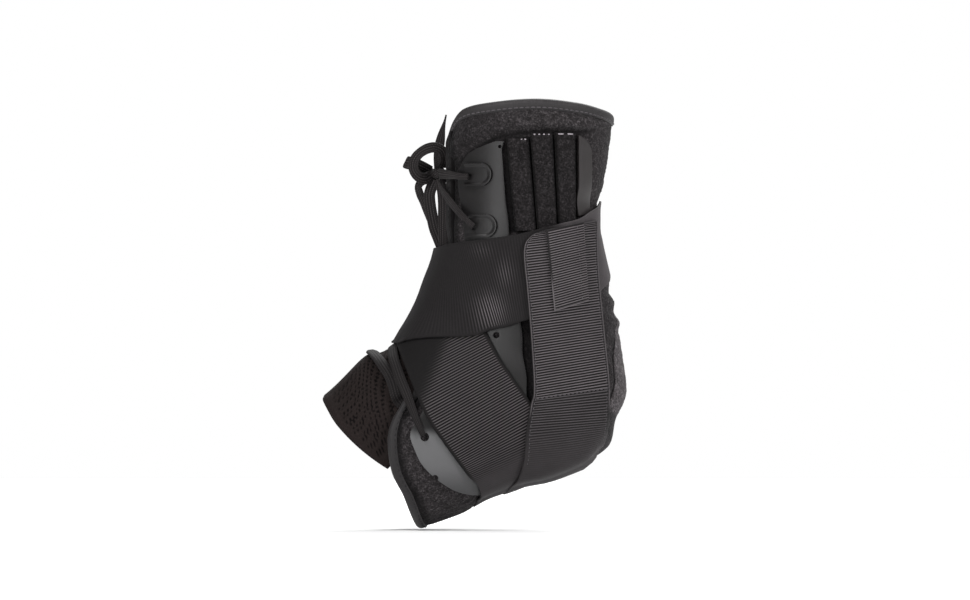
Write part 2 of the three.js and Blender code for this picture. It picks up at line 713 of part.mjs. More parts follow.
// The stirrup strap lies on the wrap strap above, on the panel, and on the diagonal strap below
function stirrupBase(spot) {
  const { at, turn } = spot;
  const wrapLower = read(wrapEdges, 'turn', 'lower', turn);
  const diagonalRear = read(diagonalEdges, 'rearTurn', 'rearAt', turn);
  const onWrap = wrapBase(turn) + webThick + strapGap;
  const onDiagonal = diagonalBase(spot) + webThick + strapGap;
  const climb = ramp(stirrupOnDiagonal.from, stirrupOnDiagonal.to, at - diagonalRear);
  const below = mix(stirrupLift, onDiagonal, climb);
  return mix(onWrap, below, ramp(stirrupOffWrap.from, stirrupOffWrap.to, at - wrapLower));
}

const stirrupTop = (spot) => stirrupBase(spot) + webThick;
add('stirrup_strap', slab({
  long: 44,
  wide: 6,
  place: underSole(edgesOf(stirrupRows, stirrupTop, stirrupSole), stirrupBase),
}), 'web');

const pullTabEdges = edgesOf(pullTabRows, (spot) => stirrupTop(spot) + tabGap + tabThick);
bothSides('pull_tab', 'web', {
  long: 5,
  wide: 3,
  place: (u, v) => {
    const spot = onStrap(pullTabEdges, u, v);
    const low = stirrupTop(spot) + tabGap;
    return { ...spot, low, high: low + tabThick };
  },
});

// Laces, as round cords along their routes, and the knot that they meet in
const laceSection = new THREE.Shape(Array.from({ length: laceSides }, (_, i) => {
  const angle = (i + 0.5) / laceSides * 2 * Math.PI;
  return new THREE.Vector2(Math.cos(angle), Math.sin(angle)).multiplyScalar(laceWide / 2);
}));

function addLace(name, steps, route) {
  const path = new THREE.CatmullRomCurve3(route.map((point) => new THREE.Vector3(...point)));
  const cord = new THREE.ExtrudeGeometry(laceSection, { steps, extrudePath: path, bevelEnabled: false });
  add(name, cord, 'lace');
}

for (const lace of laces) addLace(lace.name, lace.steps, lace.route);
for (const lace of pairedLaces) {
  addLace(`lateral_${lace.name}`, lace.steps, lace.route);
  addLace(`medial_${lace.name}`, lace.steps, lace.route.map(([x, y, z]) => [x, -y, z]));
}

const knotBall = new THREE.SphereGeometry(0.5, knotFacets.round, knotFacets.up);
knotBall.scale(knot.deep, knot.wide, knot.tall);
knotBall.translate(knot.x, knot.y, knot.z);
add('lace_knot', knotBall, 'lace');

export default brace;
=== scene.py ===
import math
import bpy
import numpy as np
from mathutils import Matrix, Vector, noise


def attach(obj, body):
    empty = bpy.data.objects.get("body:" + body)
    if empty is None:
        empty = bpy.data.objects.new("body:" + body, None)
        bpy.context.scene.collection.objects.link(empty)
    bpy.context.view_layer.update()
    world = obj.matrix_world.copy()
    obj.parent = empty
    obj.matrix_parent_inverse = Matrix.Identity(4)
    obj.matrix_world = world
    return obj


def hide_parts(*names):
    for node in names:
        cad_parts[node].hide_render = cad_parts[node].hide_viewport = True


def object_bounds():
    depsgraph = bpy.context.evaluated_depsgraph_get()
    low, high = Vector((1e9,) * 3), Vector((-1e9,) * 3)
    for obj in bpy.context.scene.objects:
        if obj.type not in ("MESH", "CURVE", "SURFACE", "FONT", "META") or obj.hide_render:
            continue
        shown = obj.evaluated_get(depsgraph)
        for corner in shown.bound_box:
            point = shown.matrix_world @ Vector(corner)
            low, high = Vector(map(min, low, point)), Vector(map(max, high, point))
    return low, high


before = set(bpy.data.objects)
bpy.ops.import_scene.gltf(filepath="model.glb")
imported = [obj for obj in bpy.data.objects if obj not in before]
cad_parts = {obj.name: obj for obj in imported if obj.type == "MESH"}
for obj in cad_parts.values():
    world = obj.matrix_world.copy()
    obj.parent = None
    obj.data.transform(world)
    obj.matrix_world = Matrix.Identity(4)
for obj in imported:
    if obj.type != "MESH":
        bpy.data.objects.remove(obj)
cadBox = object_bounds()
print("frame loaded:", len(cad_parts), "nodes")

mm = 0.001
body = "root"

# The boot's outer face, in millimetres, as the CAD has it: a place is "at", mm above the bend on the
# leg (below zero) or degrees round it (above zero), and "turn", degrees round the section from the
# front, above zero on the lateral side
bend = {"x": -91.8, "z": 53.6}
fullness = 0.1
stations = np.array([  # at, front, back, half width
    (-80, 42.0, 130.0, 38.0), (-63, 42.2, 129.0, 38.0), (-40, 42.6, 126.0, 37.0),
    (-28, 42.9, 124.0, 36.4), (-20, 43.0, 121.2, 36.0), (-12, 42.9, 120.6, 35.8),
    (0, 42.6, 121.6, 35.5), (10, 42.2, 128.6, 35.5), (20, 42.0, 140.5, 36.0),
    (25, 42.1, 147.4, 36.0), (30, 42.4, 156.2, 36.0), (35, 43.3, 158.8, 35.6),
    (40, 44.6, 164.4, 35.0), (50, 47.8, 155.6, 35.0), (60, 52.0, 146.8, 36.5),
    (70, 57.0, 148.8, 38.0), (79, 57.4, 149.8, 38.5), (87, 57.4, 150.0, 38.5),
    (95, 65.4, 150.0, 38.5), (107, 86.0, 150.0, 38.0),
])
topEdge = np.array([  # turn, at
    (10, -46), (20, -53), (30, -61.5), (40, -66.4), (62, -69.4), (95, -71.3), (126, -69.3),
    (150, -66.4), (180, -63.3),
])
toeEdge = np.array([  # turn, at
    (52, 66), (60, 72), (69, 76.4), (77, 79.8), (88, 81.9), (109, 82.1), (130, 80.2), (180, 78.6),
])
lacingEdge = np.array([  # at, turn
    (-80, 20), (0, 20), (20, 24), (40, 34), (60, 50), (73, 62), (80, 68),
])
rearEdge = np.array([  # at, turn
    (-80, 180), (12, 180), (18, 168), (24, 156), (30, 151.5), (35, 154), (40, 163), (46, 180),
    (107, 180),
])
sizes = {
    "gap": 0.3, "panelThick": 3.0, "collarHeight": 5.6, "frontBindingTurn": 9.0, "toeBindingWide": 4.8,
    "toeBindingLap": 2.0, "seamTurn": -0.05, "seamLap": 0.12, "plateLift": 0.8, "plateThick": 1.4,
    "webThick": 1.2, "strapGap": 0.9,
}
sides = (("lateral", 1), ("medial", -1))  # name, and the sign of turn on that side


def mix(a, b, share):
    return a + (b - a) * share


def ramp(low, high, value):
    share = np.clip((np.asarray(value, float) - low) / (high - low), 0, 1)
    return share * share * (3 - 2 * share)


# Share inside a band, given as the values where it starts, is full, falls and ends
def within(band, value):
    start, full, fall, end = band
    return ramp(start, full, value) * (1 - ramp(fall, end, value))


# How near a distance is to a line, from 0 to 1
def nearLine(distance, line, wide):
    return np.exp(-((distance - line) / wide) ** 2)


# A smooth curve through one column of a table
def read(table, value, column=1, key=0):
    keys, values = table[:, key], table[:, column]
    last = len(keys) - 1
    before = np.maximum(np.arange(last + 1) - 1, 0)
    after = np.minimum(np.arange(last + 1) + 1, last)
    slope = (values[after] - values[before]) / (keys[after] - keys[before])
    row = np.clip(np.searchsorted(keys, value) - 1, 0, last - 1)
    span = keys[row + 1] - keys[row]
    t = np.clip((value - keys[row]) / span, 0, 1)
    ends = (2 * t ** 3 - 3 * t ** 2 + 1) * values[row] + (3 * t ** 2 - 2 * t ** 3) * values[row + 1]
    return ends + span * ((t ** 3 - 2 * t ** 2 + t) * slope[row] + (t ** 3 - t ** 2) * slope[row + 1])


def skin(at, turn):
    at, turn = np.broadcast_arrays(np.asarray(at, float), np.radians(turn))
    front, back, half = (read(stations, at, column) for column in (1, 2, 3))
    across = np.cos(turn)
    out = (front + back) / 2 - (back - front) / 2 * across
    y = -half * np.sin(turn) * (1 + fullness * across ** 2)
    angle = np.radians(np.maximum(at, 0))
    x = bend["x"] + out * np.cos(angle)
    z = bend["z"] + np.maximum(-at, 0) - out * np.sin(angle)
    return np.stack([x, y, z], -1)


def unit(vectors):
    return vectors / np.maximum(np.linalg.norm(vectors, axis=-1, keepdims=True), 1e-12)


def normalAt(at, turn, step=0.5):
    along = skin(at + step, turn) - skin(at - step, turn)
    around = skin(at, turn + step) - skin(at, turn - step)
    return unit(np.cross(along, around))


def raised(at, turn, lift):
    return skin(at, turn) + normalAt(at, turn) * np.asarray(lift, float)[..., None]


# The place on the lateral face that a side view shows at x, z
def seenOnSkin(x, z):
    dx, drop = x - bend["x"], bend["z"] - z
    at = np.where(drop < 0, drop, np.degrees(np.arctan2(drop, dx)))
    out = np.where(drop < 0, dx, np.hypot(dx, drop))
    front, back = read(stations, at, 1), read(stations, at, 2)
    across = np.clip(((front + back) / 2 - out) / ((back - front) / 2), -1, 1)
    return at, np.degrees(np.arccos(across))


# The place whose raised point a side view shows at x, z
def seen(x, z, liftAt, rounds=8, gain=0.7):
    x, z = np.asarray(x, float), np.asarray(z, float)
    aimX, aimZ = x, z
    at, turn = seenOnSkin(x, z)
    for _ in range(rounds):
        point = raised(at, turn, liftAt(at, turn))
        aimX = aimX + (x - point[..., 0]) * gain
        aimZ = aimZ + (z - point[..., 2]) * gain
        at, turn = seenOnSkin(aimX, aimZ)
    return at, turn


# Rows of a front and a rear edge seen from the side, as a table: row, front at and turn, rear at and
# turn, then x and z of both as seen
def edgesOf(rows, liftAt, sole=None):
    rows = np.array(rows, float)
    frontAt, frontTurn = seen(rows[:, 0], rows[:, 1], liftAt)
    rearAt, rearTurn = seen(rows[:, 2], rows[:, 3], liftAt)
    table = np.stack([frontAt, frontTurn, rearAt, rearTurn, *rows.T], -1)
    if sole:
        soleAt, soleTurn = np.array(sole, float), np.array([180.0, 180.0])
        front, rear = raised(soleAt, soleTurn, liftAt(soleAt, soleTurn))
        table = np.vstack([table, (sole[0], 180, sole[1], 180, front[0], front[2], rear[0], rear[2])])
    return np.column_stack([np.arange(len(table)), table])


def onStrap(edges, row, v):
    at = mix(read(edges, row, 1), read(edges, row, 3), v)
    turn = mix(read(edges, row, 2), read(edges, row, 4), v)
    return at, turn


# Positions from 0 to 1 along a span in mm, with more lines near both ends
def edged(count, span, band=1.2):
    near = np.array([0, 0.1, 0.3, 0.6, 1]) * band / span
    inner = np.linspace(near[-1], 1 - near[-1], count)
    return np.concatenate([near[:-1], inner, 1 - near[-2::-1]])


# How far a face falls away within a rounding of its edge
def edgeFall(distance, radius):
    inside = np.clip(1 - distance / radius, 0, 1)
    return radius * (1 - np.sqrt(1 - inside ** 2))


# Small soft lumps, the same on every run
def lumps(points, scale, octaves, smoothness=0.9, finer=2.0):
    flat = points.reshape(-1, 3) / scale
    values = [noise.fractal(p, smoothness, finer, octaves) for p in map(Vector, flat)]
    return np.array(values).reshape(points.shape[:-1])


# A mesh object from points in mm, with its UV maps and named point values
def meshObject(name, points, faces, maps=None, values=None, materials=(), faceMaterials=None, sharp=50):
    mesh = bpy.data.meshes.new(name)
    mesh.from_pydata((np.asarray(points) * mm).tolist(), [], faces.tolist())
    for key, value in (maps or {}).items():
        layer = mesh.uv_layers.new(name=key)
        layer.data.foreach_set("uv", np.asarray(value, np.float32).ravel())
    for key, value in (values or {}).items():
        layer = mesh.attributes.new(key, "FLOAT", "POINT")
        layer.data.foreach_set("value", np.asarray(value, np.float32).ravel())
    for material in materials:
        mesh.materials.append(material)
    if faceMaterials is not None:
        mesh.polygons.foreach_set("material_index", np.asarray(faceMaterials, np.int32))
    piece = bpy.data.objects.new(name, mesh)
    bpy.context.scene.collection.objects.link(piece)
    selectOnly(piece)
    bpy.ops.object.shade_smooth_by_angle(angle=math.radians(sharp))
    return piece


def selectOnly(piece):
    bpy.ops.object.select_all(action="DESELECT")
    piece.select_set(True)
    bpy.context.view_layer.objects.active = piece


# Distance in mm along a line of points
def lengthsAlong(line):
    return np.concatenate([[0], np.cumsum(np.linalg.norm(np.diff(line, axis=0), axis=-1))])


# Distance in mm along the middle column of a grid of points, and across each row from its middle
def clothLengths(points):
    rows, cols = points.shape[:2]
    along = lengthsAlong(points[:, cols // 2])
    steps = np.linalg.norm(np.diff(points, axis=1), axis=-1)
    across = np.concatenate([np.zeros((rows, 1)), np.cumsum(steps, 1)], 1)
    return np.broadcast_to(along[:, None], (rows, cols)), across - across[:, cols // 2][:, None]


# Whether a closed mesh of four-sided faces points inwards
def insideOut(points, faces):
    a, b, c, d = (points[faces[:, k]] for k in range(4))
    return np.sum(a * (np.cross(b, c) + np.cross(c, d))) < 0


bakeMargin = 0.01
bakeRows = {  # where each strip of a wall lies in its bake map, from and to
    "inner": (0.52, 0.88), "outer": (0.01, 0.51), "firstSide": (0.89, 0.91), "lastSide": (0.92, 0.94),
    "firstEnd": (0.95, 0.965), "lastEnd": (0.975, 0.99),
}


# A wall laid on the boot. place(u, v) gives at, turn, the lifts low and high of its two faces, and any of
# the values its material reads: relief, which paints the colour lighter as painted light on crests, pile and
# yarn, and shade, painted shade. The map "cloth" is in mm along and across the wall, and the map "OFBake"
# lays its faces and rims side by side.
def wall(name, us, vs, place, materials, loop=False, sign=1, sharp=60):
    u, v = np.meshgrid(us, vs, indexing="ij")
    spot = place(u, v)
    turn = sign * spot["turn"]
    rows, cols = u.shape
    low = raised(spot["at"], turn, spot["low"] + 0 * u)
    high = raised(spot["at"], turn, spot["high"] + 0 * u)
    along, across = clothLengths(high)
    if loop:
        rows -= 1
    points = np.concatenate([low[:rows].reshape(-1, 3), high[:rows].reshape(-1, 3)])
    values = {}
    for key in ("litRelief", "shade"):
        value = np.broadcast_to(spot.get(key, 0.0), u.shape)[:rows]
        under = np.zeros_like(value) if key == "litRelief" else value
        values[key] = np.concatenate([under.ravel(), value.ravel()])
    quads, cloth, bake, slots = [], [], [], []

    def bakeSpot(part, f, a, b):
        if part in ("inner", "outer"):
            x, y = u[a, b], v[a, b]
        else:
            x, y = (u if part.endswith("Side") else v)[a, b], f
        return np.stack([mix(bakeMargin, 1 - bakeMargin, x), mix(*bakeRows[part], y) + 0 * x], -1)

    # Corners are face (0 low, 1 high), row and column
    def strip(part, corners, slot=0):
        quads.append(np.stack([f * rows * cols + (a % rows) * cols + b for f, a, b in corners], -1))
        cloth.append(np.stack([np.stack([along[a, b], across[a, b]], -1) for f, a, b in corners], 1))
        bake.append(np.stack([bakeSpot(part, *corner) for corner in corners], 1))
        slots.append(np.full(len(corners[0][1]), slot))

    i, j = (k.ravel() for k in np.meshgrid(np.arange(len(us) - 1), np.arange(cols - 1), indexing="ij"))
    inner = min(1, len(materials) - 1)
    strip("inner", [(0, i, j), (0, i, j + 1), (0, i + 1, j + 1), (0, i + 1, j)], inner)
    strip("outer", [(1, i, j), (1, i + 1, j), (1, i + 1, j + 1), (1, i, j + 1)])
    a = np.arange(len(us) - 1)
    first, last = np.zeros_like(a), np.full_like(a, cols - 1)
    strip("firstSide", [(0, a, first), (0, a + 1, first), (1, a + 1, first), (1, a, first)])
    strip("lastSide", [(0, a, last), (1, a, last), (1, a + 1, last), (0, a + 1, last)])
    if not loop:
        b = np.arange(cols - 1)
        first, last = np.zeros_like(b), np.full_like(b, len(us) - 1)
        strip("firstEnd", [(0, first, b), (1, first, b), (1, first, b + 1), (0, first, b + 1)])
        strip("lastEnd", [(0, last, b), (0, last, b + 1), (1, last, b + 1), (1, last, b)])
    faces, maps = np.concatenate(quads), {"cloth": np.concatenate(cloth), "OFBake": np.concatenate(bake)}
    if insideOut(points, faces):
        faces, maps = faces[:, ::-1], {key: value[:, ::-1] for key, value in maps.items()}
    return meshObject(name, points, faces, maps, values, materials, np.concatenate(slots), sharp)


# Positions down the middle of a strap, and the distance in mm at each
def middleLength(place, count=400):
    u = np.linspace(0, 1, count)
    spot = place(u, np.full(count, 0.5))
    return u, lengthsAlong(raised(spot["at"], spot["turn"], spot["high"] + 0 * u))


def finishPiece(piece, slot, *nodes):
    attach(piece, body)
    if nodes:
        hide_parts(*nodes)
    return piece


# Shader maths as Python: a Shade wraps one socket, and make adds any other node
class Shade:
    def __init__(self, tree, socket=None):
        self.tree = tree
        self.socket = socket

    def make(self, kind, settings=None, inputs=None, out=0):
        node = self.tree.nodes.new(kind)
        for key, value in (settings or {}).items():
            setattr(node, key, value)
        for key, value in (inputs or {}).items():
            if isinstance(value, Shade):
                self.tree.links.new(value.socket, node.inputs[key])
            else:
                node.inputs[key].default_value = value
        return Shade(self.tree, node.outputs[out])

    def maths(self, operation, a, b=0.0):
        return self.make("ShaderNodeMath", {"operation": operation}, {0: a, 1: b})

    def __add__(self, other):
        return self.maths("ADD", self, other)

    def __sub__(self, other):
        return self.maths("SUBTRACT", self, other)

    def __rsub__(self, other):
        return self.maths("SUBTRACT", other, self)

    def __mul__(self, other):
        return self.maths("MULTIPLY", self, other)

    def __pow__(self, other):
        return self.maths("POWER", self, other)

    __radd__ = __add__
    __rmul__ = __mul__

    def place(self):
        return self.make("ShaderNodeTexCoord", out="Object")

    def noise(self, size, detail=2.0, vector=None):
        inputs = {"Vector": vector or self.place(), "Scale": 1 / (size * mm), "Detail": detail}
        return self.make("ShaderNodeTexNoise", {}, inputs)

    def cells(self, size):
        inputs = {"Vector": self.place(), "Scale": 1 / (size * mm)}
        return self.make("ShaderNodeTexVoronoi", {}, inputs)

    def value(self, name):
        return self.make("ShaderNodeAttribute", {"attribute_name": name}, {}, "Fac")

    def stretch(self, low, high, value):
        inputs = {"Value": value, "From Min": low, "From Max": high}
        return self.make("ShaderNodeMapRange", {"interpolation_type": "SMOOTHSTEP"}, inputs)

    def blend(self, share, a, b):
        return self.make("ShaderNodeMix", {"data_type": "RGBA"}, {0: share, 6: a, 7: b}, 2)

    def cloth(self, along, across):
        source = self.make("ShaderNodeUVMap", {"uv_map": "cloth"})
        inputs = {"Vector": source, "Scale": (along * mm, across * mm, 1)}
        return self.make("ShaderNodeMapping", {}, inputs)


# A near neutral colour that leans a little to red, as black dye does
def grey(level, warm=0.0):
    return (level * (1.05 + warm), level * 0.96, level * (1.03 - warm), 1)


bumpStrength = 0.9


# A Principled material. paint(shade) gives its colour, roughness and bump height.
def finishMaterial(name, paint, bump=0.3, sheen=0.0, specular=0.12):
    material = bpy.data.materials.new(name)
    material.use_nodes = True
    tree = material.node_tree
    shader = tree.nodes["Principled BSDF"]
    colour, rough, height = paint(Shade(tree))
    tree.links.new(colour.socket, shader.inputs["Base Color"])
    tree.links.new(rough.socket, shader.inputs["Roughness"])
    inputs = {"Strength": bumpStrength, "Distance": bump * mm, "Height": height}
    normal = Shade(tree).make("ShaderNodeBump", {}, inputs)
    tree.links.new(normal.socket, shader.inputs["Normal"])
    shader.inputs["Sheen Weight"].default_value = sheen
    shader.inputs["Specular IOR Level"].default_value = specular
    return material


# Sizes in mm of what the finishes show
grain = {
    "curl": 0.8, "loop": 1.1, "patch": 6.0, "yarn": 0.35, "crestPatch": 9.0, "knit": 0.5, "cloud": 7.0,
    "plastic": 0.45, "plasticCloud": 14.0, "netYarn": 0.4,
}
deepShade = grey(0.0015)
# Heights in metres between which the foot of a plate is painted lighter as painted light, and then less so,
# with the shares
plateFootLight = {"rise": (-0.041, -0.047), "footLight": 0.54, "fall": (-0.06, -0.078), "less": 0.32}


# Loop fabric: the pile's specks are painted lighter where it is lit, painted highlights, and the shade value
# paints shade
def paintFleece(dark, mid, light):
    def paint(shade):
        curls = shade.noise(grain["curl"], 3.0)
        loops = shade.cells(grain["loop"])
        patches = shade.noise(grain["patch"])
        lit = (shade.stretch(0.3, 0.75, curls) * 0.65 + shade.stretch(0.0, 0.7, loops) * 0.35) ** 2
        ground = shade.blend(shade.stretch(0.3, 0.7, patches), dark, mid)
        colour = shade.blend(lit * (0.3 + shade.value("litRelief")), ground, light)
        colour = shade.blend(shade.value("shade"), colour, deepShade)
        return colour, 0.86 + 0.12 * patches, curls * 0.7 + loops * 0.5
    return paint


# Ribbed webbing and braid: the crests are painted lighter as a painted highlight, stronger and weaker at
# random in patches, the grooves painted dark as painted shade, and the shade value paints more shade
def paintWeb(grooveShade, crestHighlight, shadow):
    def paint(shade):
        litRelief = shade.value("litRelief")
        yarn = shade.noise(grain["yarn"])
        crestPatches = shade.noise(grain["crestPatch"])
        high = shade.stretch(0.25, 0.95, litRelief) * (0.55 + 0.6 * yarn) * (0.8 + 0.4 * crestPatches)
        colour = shade.blend(high, grooveShade, crestHighlight)
        colour = shade.blend(shade.value("shade"), colour, shadow)
        return colour, 0.78 - 0.2 * litRelief, yarn * 0.5 + litRelief * 0.5
    return paint


def paintTape(dark, light):
    def paint(shade):
        knit = shade.noise(grain["knit"], 2.0, shade.cloth(1, 0.12))
        cloud = shade.noise(grain["cloud"])
        share = shade.stretch(0.3, 0.75, knit) * 0.6 + cloud * 0.4
        colour = shade.blend(share * (1 - shade.value("shade")), dark, light)
        return colour, 0.5 + 0.2 * knit, knit
    return paint


def paintPlastic(dark, light, footLight):
    def paint(shade):
        fine = shade.noise(grain["plastic"], 3.0)
        cloud = shade.noise(grain["plasticCloud"], 3.0)
        height = shade.make("ShaderNodeSeparateXYZ", {}, {0: shade.place()}, 2)
        colour = shade.blend(shade.stretch(0.3, 0.7, cloud), dark, light)
        # The foot of a plate is painted lighter, a painted pool of light, and less so further down
        gain = shade.stretch(*plateFootLight["rise"], height) * plateFootLight["footLight"]
        loss = shade.stretch(*plateFootLight["fall"], height) * plateFootLight["less"]
        colour = shade.blend(gain - loss, colour, footLight)
        return colour, 0.26 + 0.12 * cloud + 0.08 * fine, fine
    return paint


# Open net: the holes are painted dark as painted shade in them, and the yarn lighter as a painted highlight
def paintNet(hole, thread, lit):
    def paint(shade):
        litRelief = shade.value("litRelief")
        yarn = shade.noise(grain["netYarn"])
        colour = shade.blend(shade.stretch(0.1, 0.8, litRelief), hole, thread)
        colour = shade.blend(shade.stretch(0.45, 0.8, yarn) * litRelief * 0.7, colour, lit)
        return colour, 0.85 - 0.1 * yarn, yarn * 0.6 + litRelief * 0.4
    return paint


def paintKnit(dark, light):
    def paint(shade):
        loops = shade.cells(grain["loop"])
        yarn = shade.noise(grain["knit"])
        colour = shade.blend(shade.stretch(0.1, 0.55, loops) * 0.7 + yarn * 0.3, dark, light)
        return colour, 0.8 + 0.15 * yarn, loops
    return paint


finishRows = {  # paint, bump in mm, sheen, specular
    "fleece": (paintFleece(grey(0.006, 0.03), grey(0.011, 0.03), grey(0.055, 0.02)), 0.5, 0.03, 0.06),
    "darkFleece": (paintFleece(grey(0.0035, 0.03), grey(0.006, 0.03), grey(0.026, 0.02)), 0.5, 0.02, 0.05),
    "paleFleece": (paintFleece(grey(0.012, 0.03), grey(0.026, 0.03), grey(0.13, 0.02)), 0.5, 0.05, 0.08),
    "web": (paintWeb(grey(0.0055, 0.03), grey(0.092, 0.02), grey(0.004, 0.03)), 0.12, 0.015, 0.08),
    "tape": (paintTape(grey(0.010, 0.02), grey(0.026, 0.02)), 0.08, 0.04, 0.22),
    # the same tape painted darker, painted shade
    "shadedTape": (paintTape(grey(0.003, 0.03), grey(0.008, 0.03)), 0.08, 0.015, 0.1),
    "plate": (paintPlastic(grey(0.004, 0.03), grey(0.006, 0.03), (0.14, 0.14, 0.144, 1)), 0.05, 0.0, 0.25),
    "stay": (paintPlastic(grey(0.014, 0.06), grey(0.018, 0.06), grey(0.05, 0.04)), 0.04, 0.0, 0.28),
    "net": (paintNet((0.0014, 0.0010, 0.0010, 1), (0.0100, 0.0074, 0.0070, 1), (0.022, 0.017, 0.016, 1)),
            0.15, 0.01, 0.05),
    "lace": (paintWeb(grey(0.006, 0.05), grey(0.042, 0.05), grey(0.004, 0.05)), 0.06, 0.02, 0.08),
    "thread": (paintTape(grey(0.035), grey(0.08)), 0.05),
    "darkThread": (paintTape(grey(0.008), grey(0.02)), 0.05),
    "highlightThread": (paintTape(grey(0.12), grey(0.3)), 0.05),
    "lining": (paintKnit(grey(0.006, 0.03), grey(0.016, 0.03)), 0.2, 0.03, 0.06),
}
finishes = {name: finishMaterial(name, *row) for name, row in finishRows.items()}
print("materials made:", len(finishes))

# Camera level with the brace and square to its lateral side, with a long lens
view = {"distance": 5.0, "aim": (-0.0281, 0.0, 0.0229), "frameWide": 0.4947, "sensor": 36.0, "reach": 100}
cameraData = bpy.data.cameras.new("camera")
cameraData.sensor_width = view["sensor"]
cameraData.lens = view["sensor"] * view["distance"] / view["frameWide"]
cameraData.clip_end = view["reach"]
camera = bpy.data.objects.new("camera", cameraData)
camera.location = (view["aim"][0], -view["distance"], view["aim"][2])
camera.rotation_euler = (math.pi / 2, 0, 0)
bpy.context.scene.collection.objects.link(camera)
bpy.context.scene.camera = camera

# Pale floor under a white room, and soft studio light
studio = {
    "floor": 3.0, "floorGap": 0.0006, "floorAhead": 0.1, "paper": 0.92, "paperRough": 0.9, "room": 1.0,
    "fill": 0.3,
    "lamps": [  # place, aim, size, watts
        ((-0.8, -1.3, 1.5), (-0.02, 0.0, 0.0), 0.7, 36.0),
        ((1.3, -1.2, 0.8), (0.0, 0.0, 0.02), 0.6, 23.0),
        ((-0.9, -1.9, 0.15), (-0.03, 0.0, 0.0), 0.7, 14.0),
        ((0.4, 1.2, 1.4), (0.0, 0.0, 0.03), 1.2, 46.0),
    ],
}


def makeStudio():
    place = (0, -studio["floorAhead"], cadBox[0].z - studio["floorGap"])
    bpy.ops.object.select_all(action="DESELECT")
    bpy.ops.mesh.primitive_plane_add(size=studio["floor"], location=place)
    floor = bpy.context.object
    floor.name = "floor"
    bpy.ops.object.transform_apply(location=True, rotation=True, scale=True)
    paper = bpy.data.materials.new("paper")
    paper.use_nodes = True
    sheet = paper.node_tree.nodes["Principled BSDF"].inputs
    sheet["Base Color"].default_value = (*[studio["paper"]] * 3, 1)
    sheet["Roughness"].default_value = studio["paperRough"]
    floor.data.materials.append(paper)
    world = bpy.data.worlds.new("studio")
    world.use_nodes = True
    nodes = Shade(world.node_tree)
    seenShare = nodes.make("ShaderNodeLightPath", out="Is Camera Ray")
    strength = studio["fill"] + (studio["room"] - studio["fill"]) * seenShare
    backdrop = world.node_tree.nodes["Background"].inputs
    backdrop["Color"].default_value = (1, 1, 1, 1)
    world.node_tree.links.new(strength.socket, backdrop["Strength"])
    bpy.context.scene.world = world
    bpy.context.scene.view_settings.view_transform = "Standard"
    for number, (place, aim, size, watts) in enumerate(studio["lamps"]):
        data = bpy.data.lights.new("softbox%d" % number, "AREA")
        data.size = size
        data.energy = watts
        lamp = bpy.data.objects.new(data.name, data)
        lamp.location = place
        lamp.rotation_euler = (Vector(aim) - Vector(place)).to_track_quat("-Z", "Y").to_euler()
        bpy.context.scene.collection.objects.link(lamp)


makeStudio()
print("camera, floor and lamps made")

# Laces: flat braid close to the CAD's routes, which are in metres. The first three are on the lateral
# side and have mirror images on the medial side.
lace = {
    "wide": 5.0, "thick": 1.4, "step": 0.55, "sides": 21, "ridges": 4.5, "ridgeDeep": 0.05, "squareness": 5,
    "braid": 1.15, "braidLean": 1.2, "braidDeep": 0.05, "sharp": 70,
    "broad": {  # width, as a share of wide
        "lace_bar": 1.2, "lace_loop_near": 1.2, "lace_loop_far": 1.3, "lace_tail_far": 1.1,
        "lace_tail_near": 1.2, "lace_tail_side": 1.1,
    },
    # How much painted shade the laces that lie in shade get
    "shaded": {"lace_bar": 0.45, "lace_lower": 0.45},
    "bunched": 0.62, "spread": 1.06, "bunchLength": 30.0,
    "barMiddle": 0.6, "barMiddleLength": 10.0, "barShift": (0.0011, 0.0, 0.0006),
    "barTuck": {"at": (75.2, 76.2), "turn": (67.0, 63.5), "lift": (-4.2, -3.7)},
    "tipShare": 0.5, "tipWide": 0.16,
}
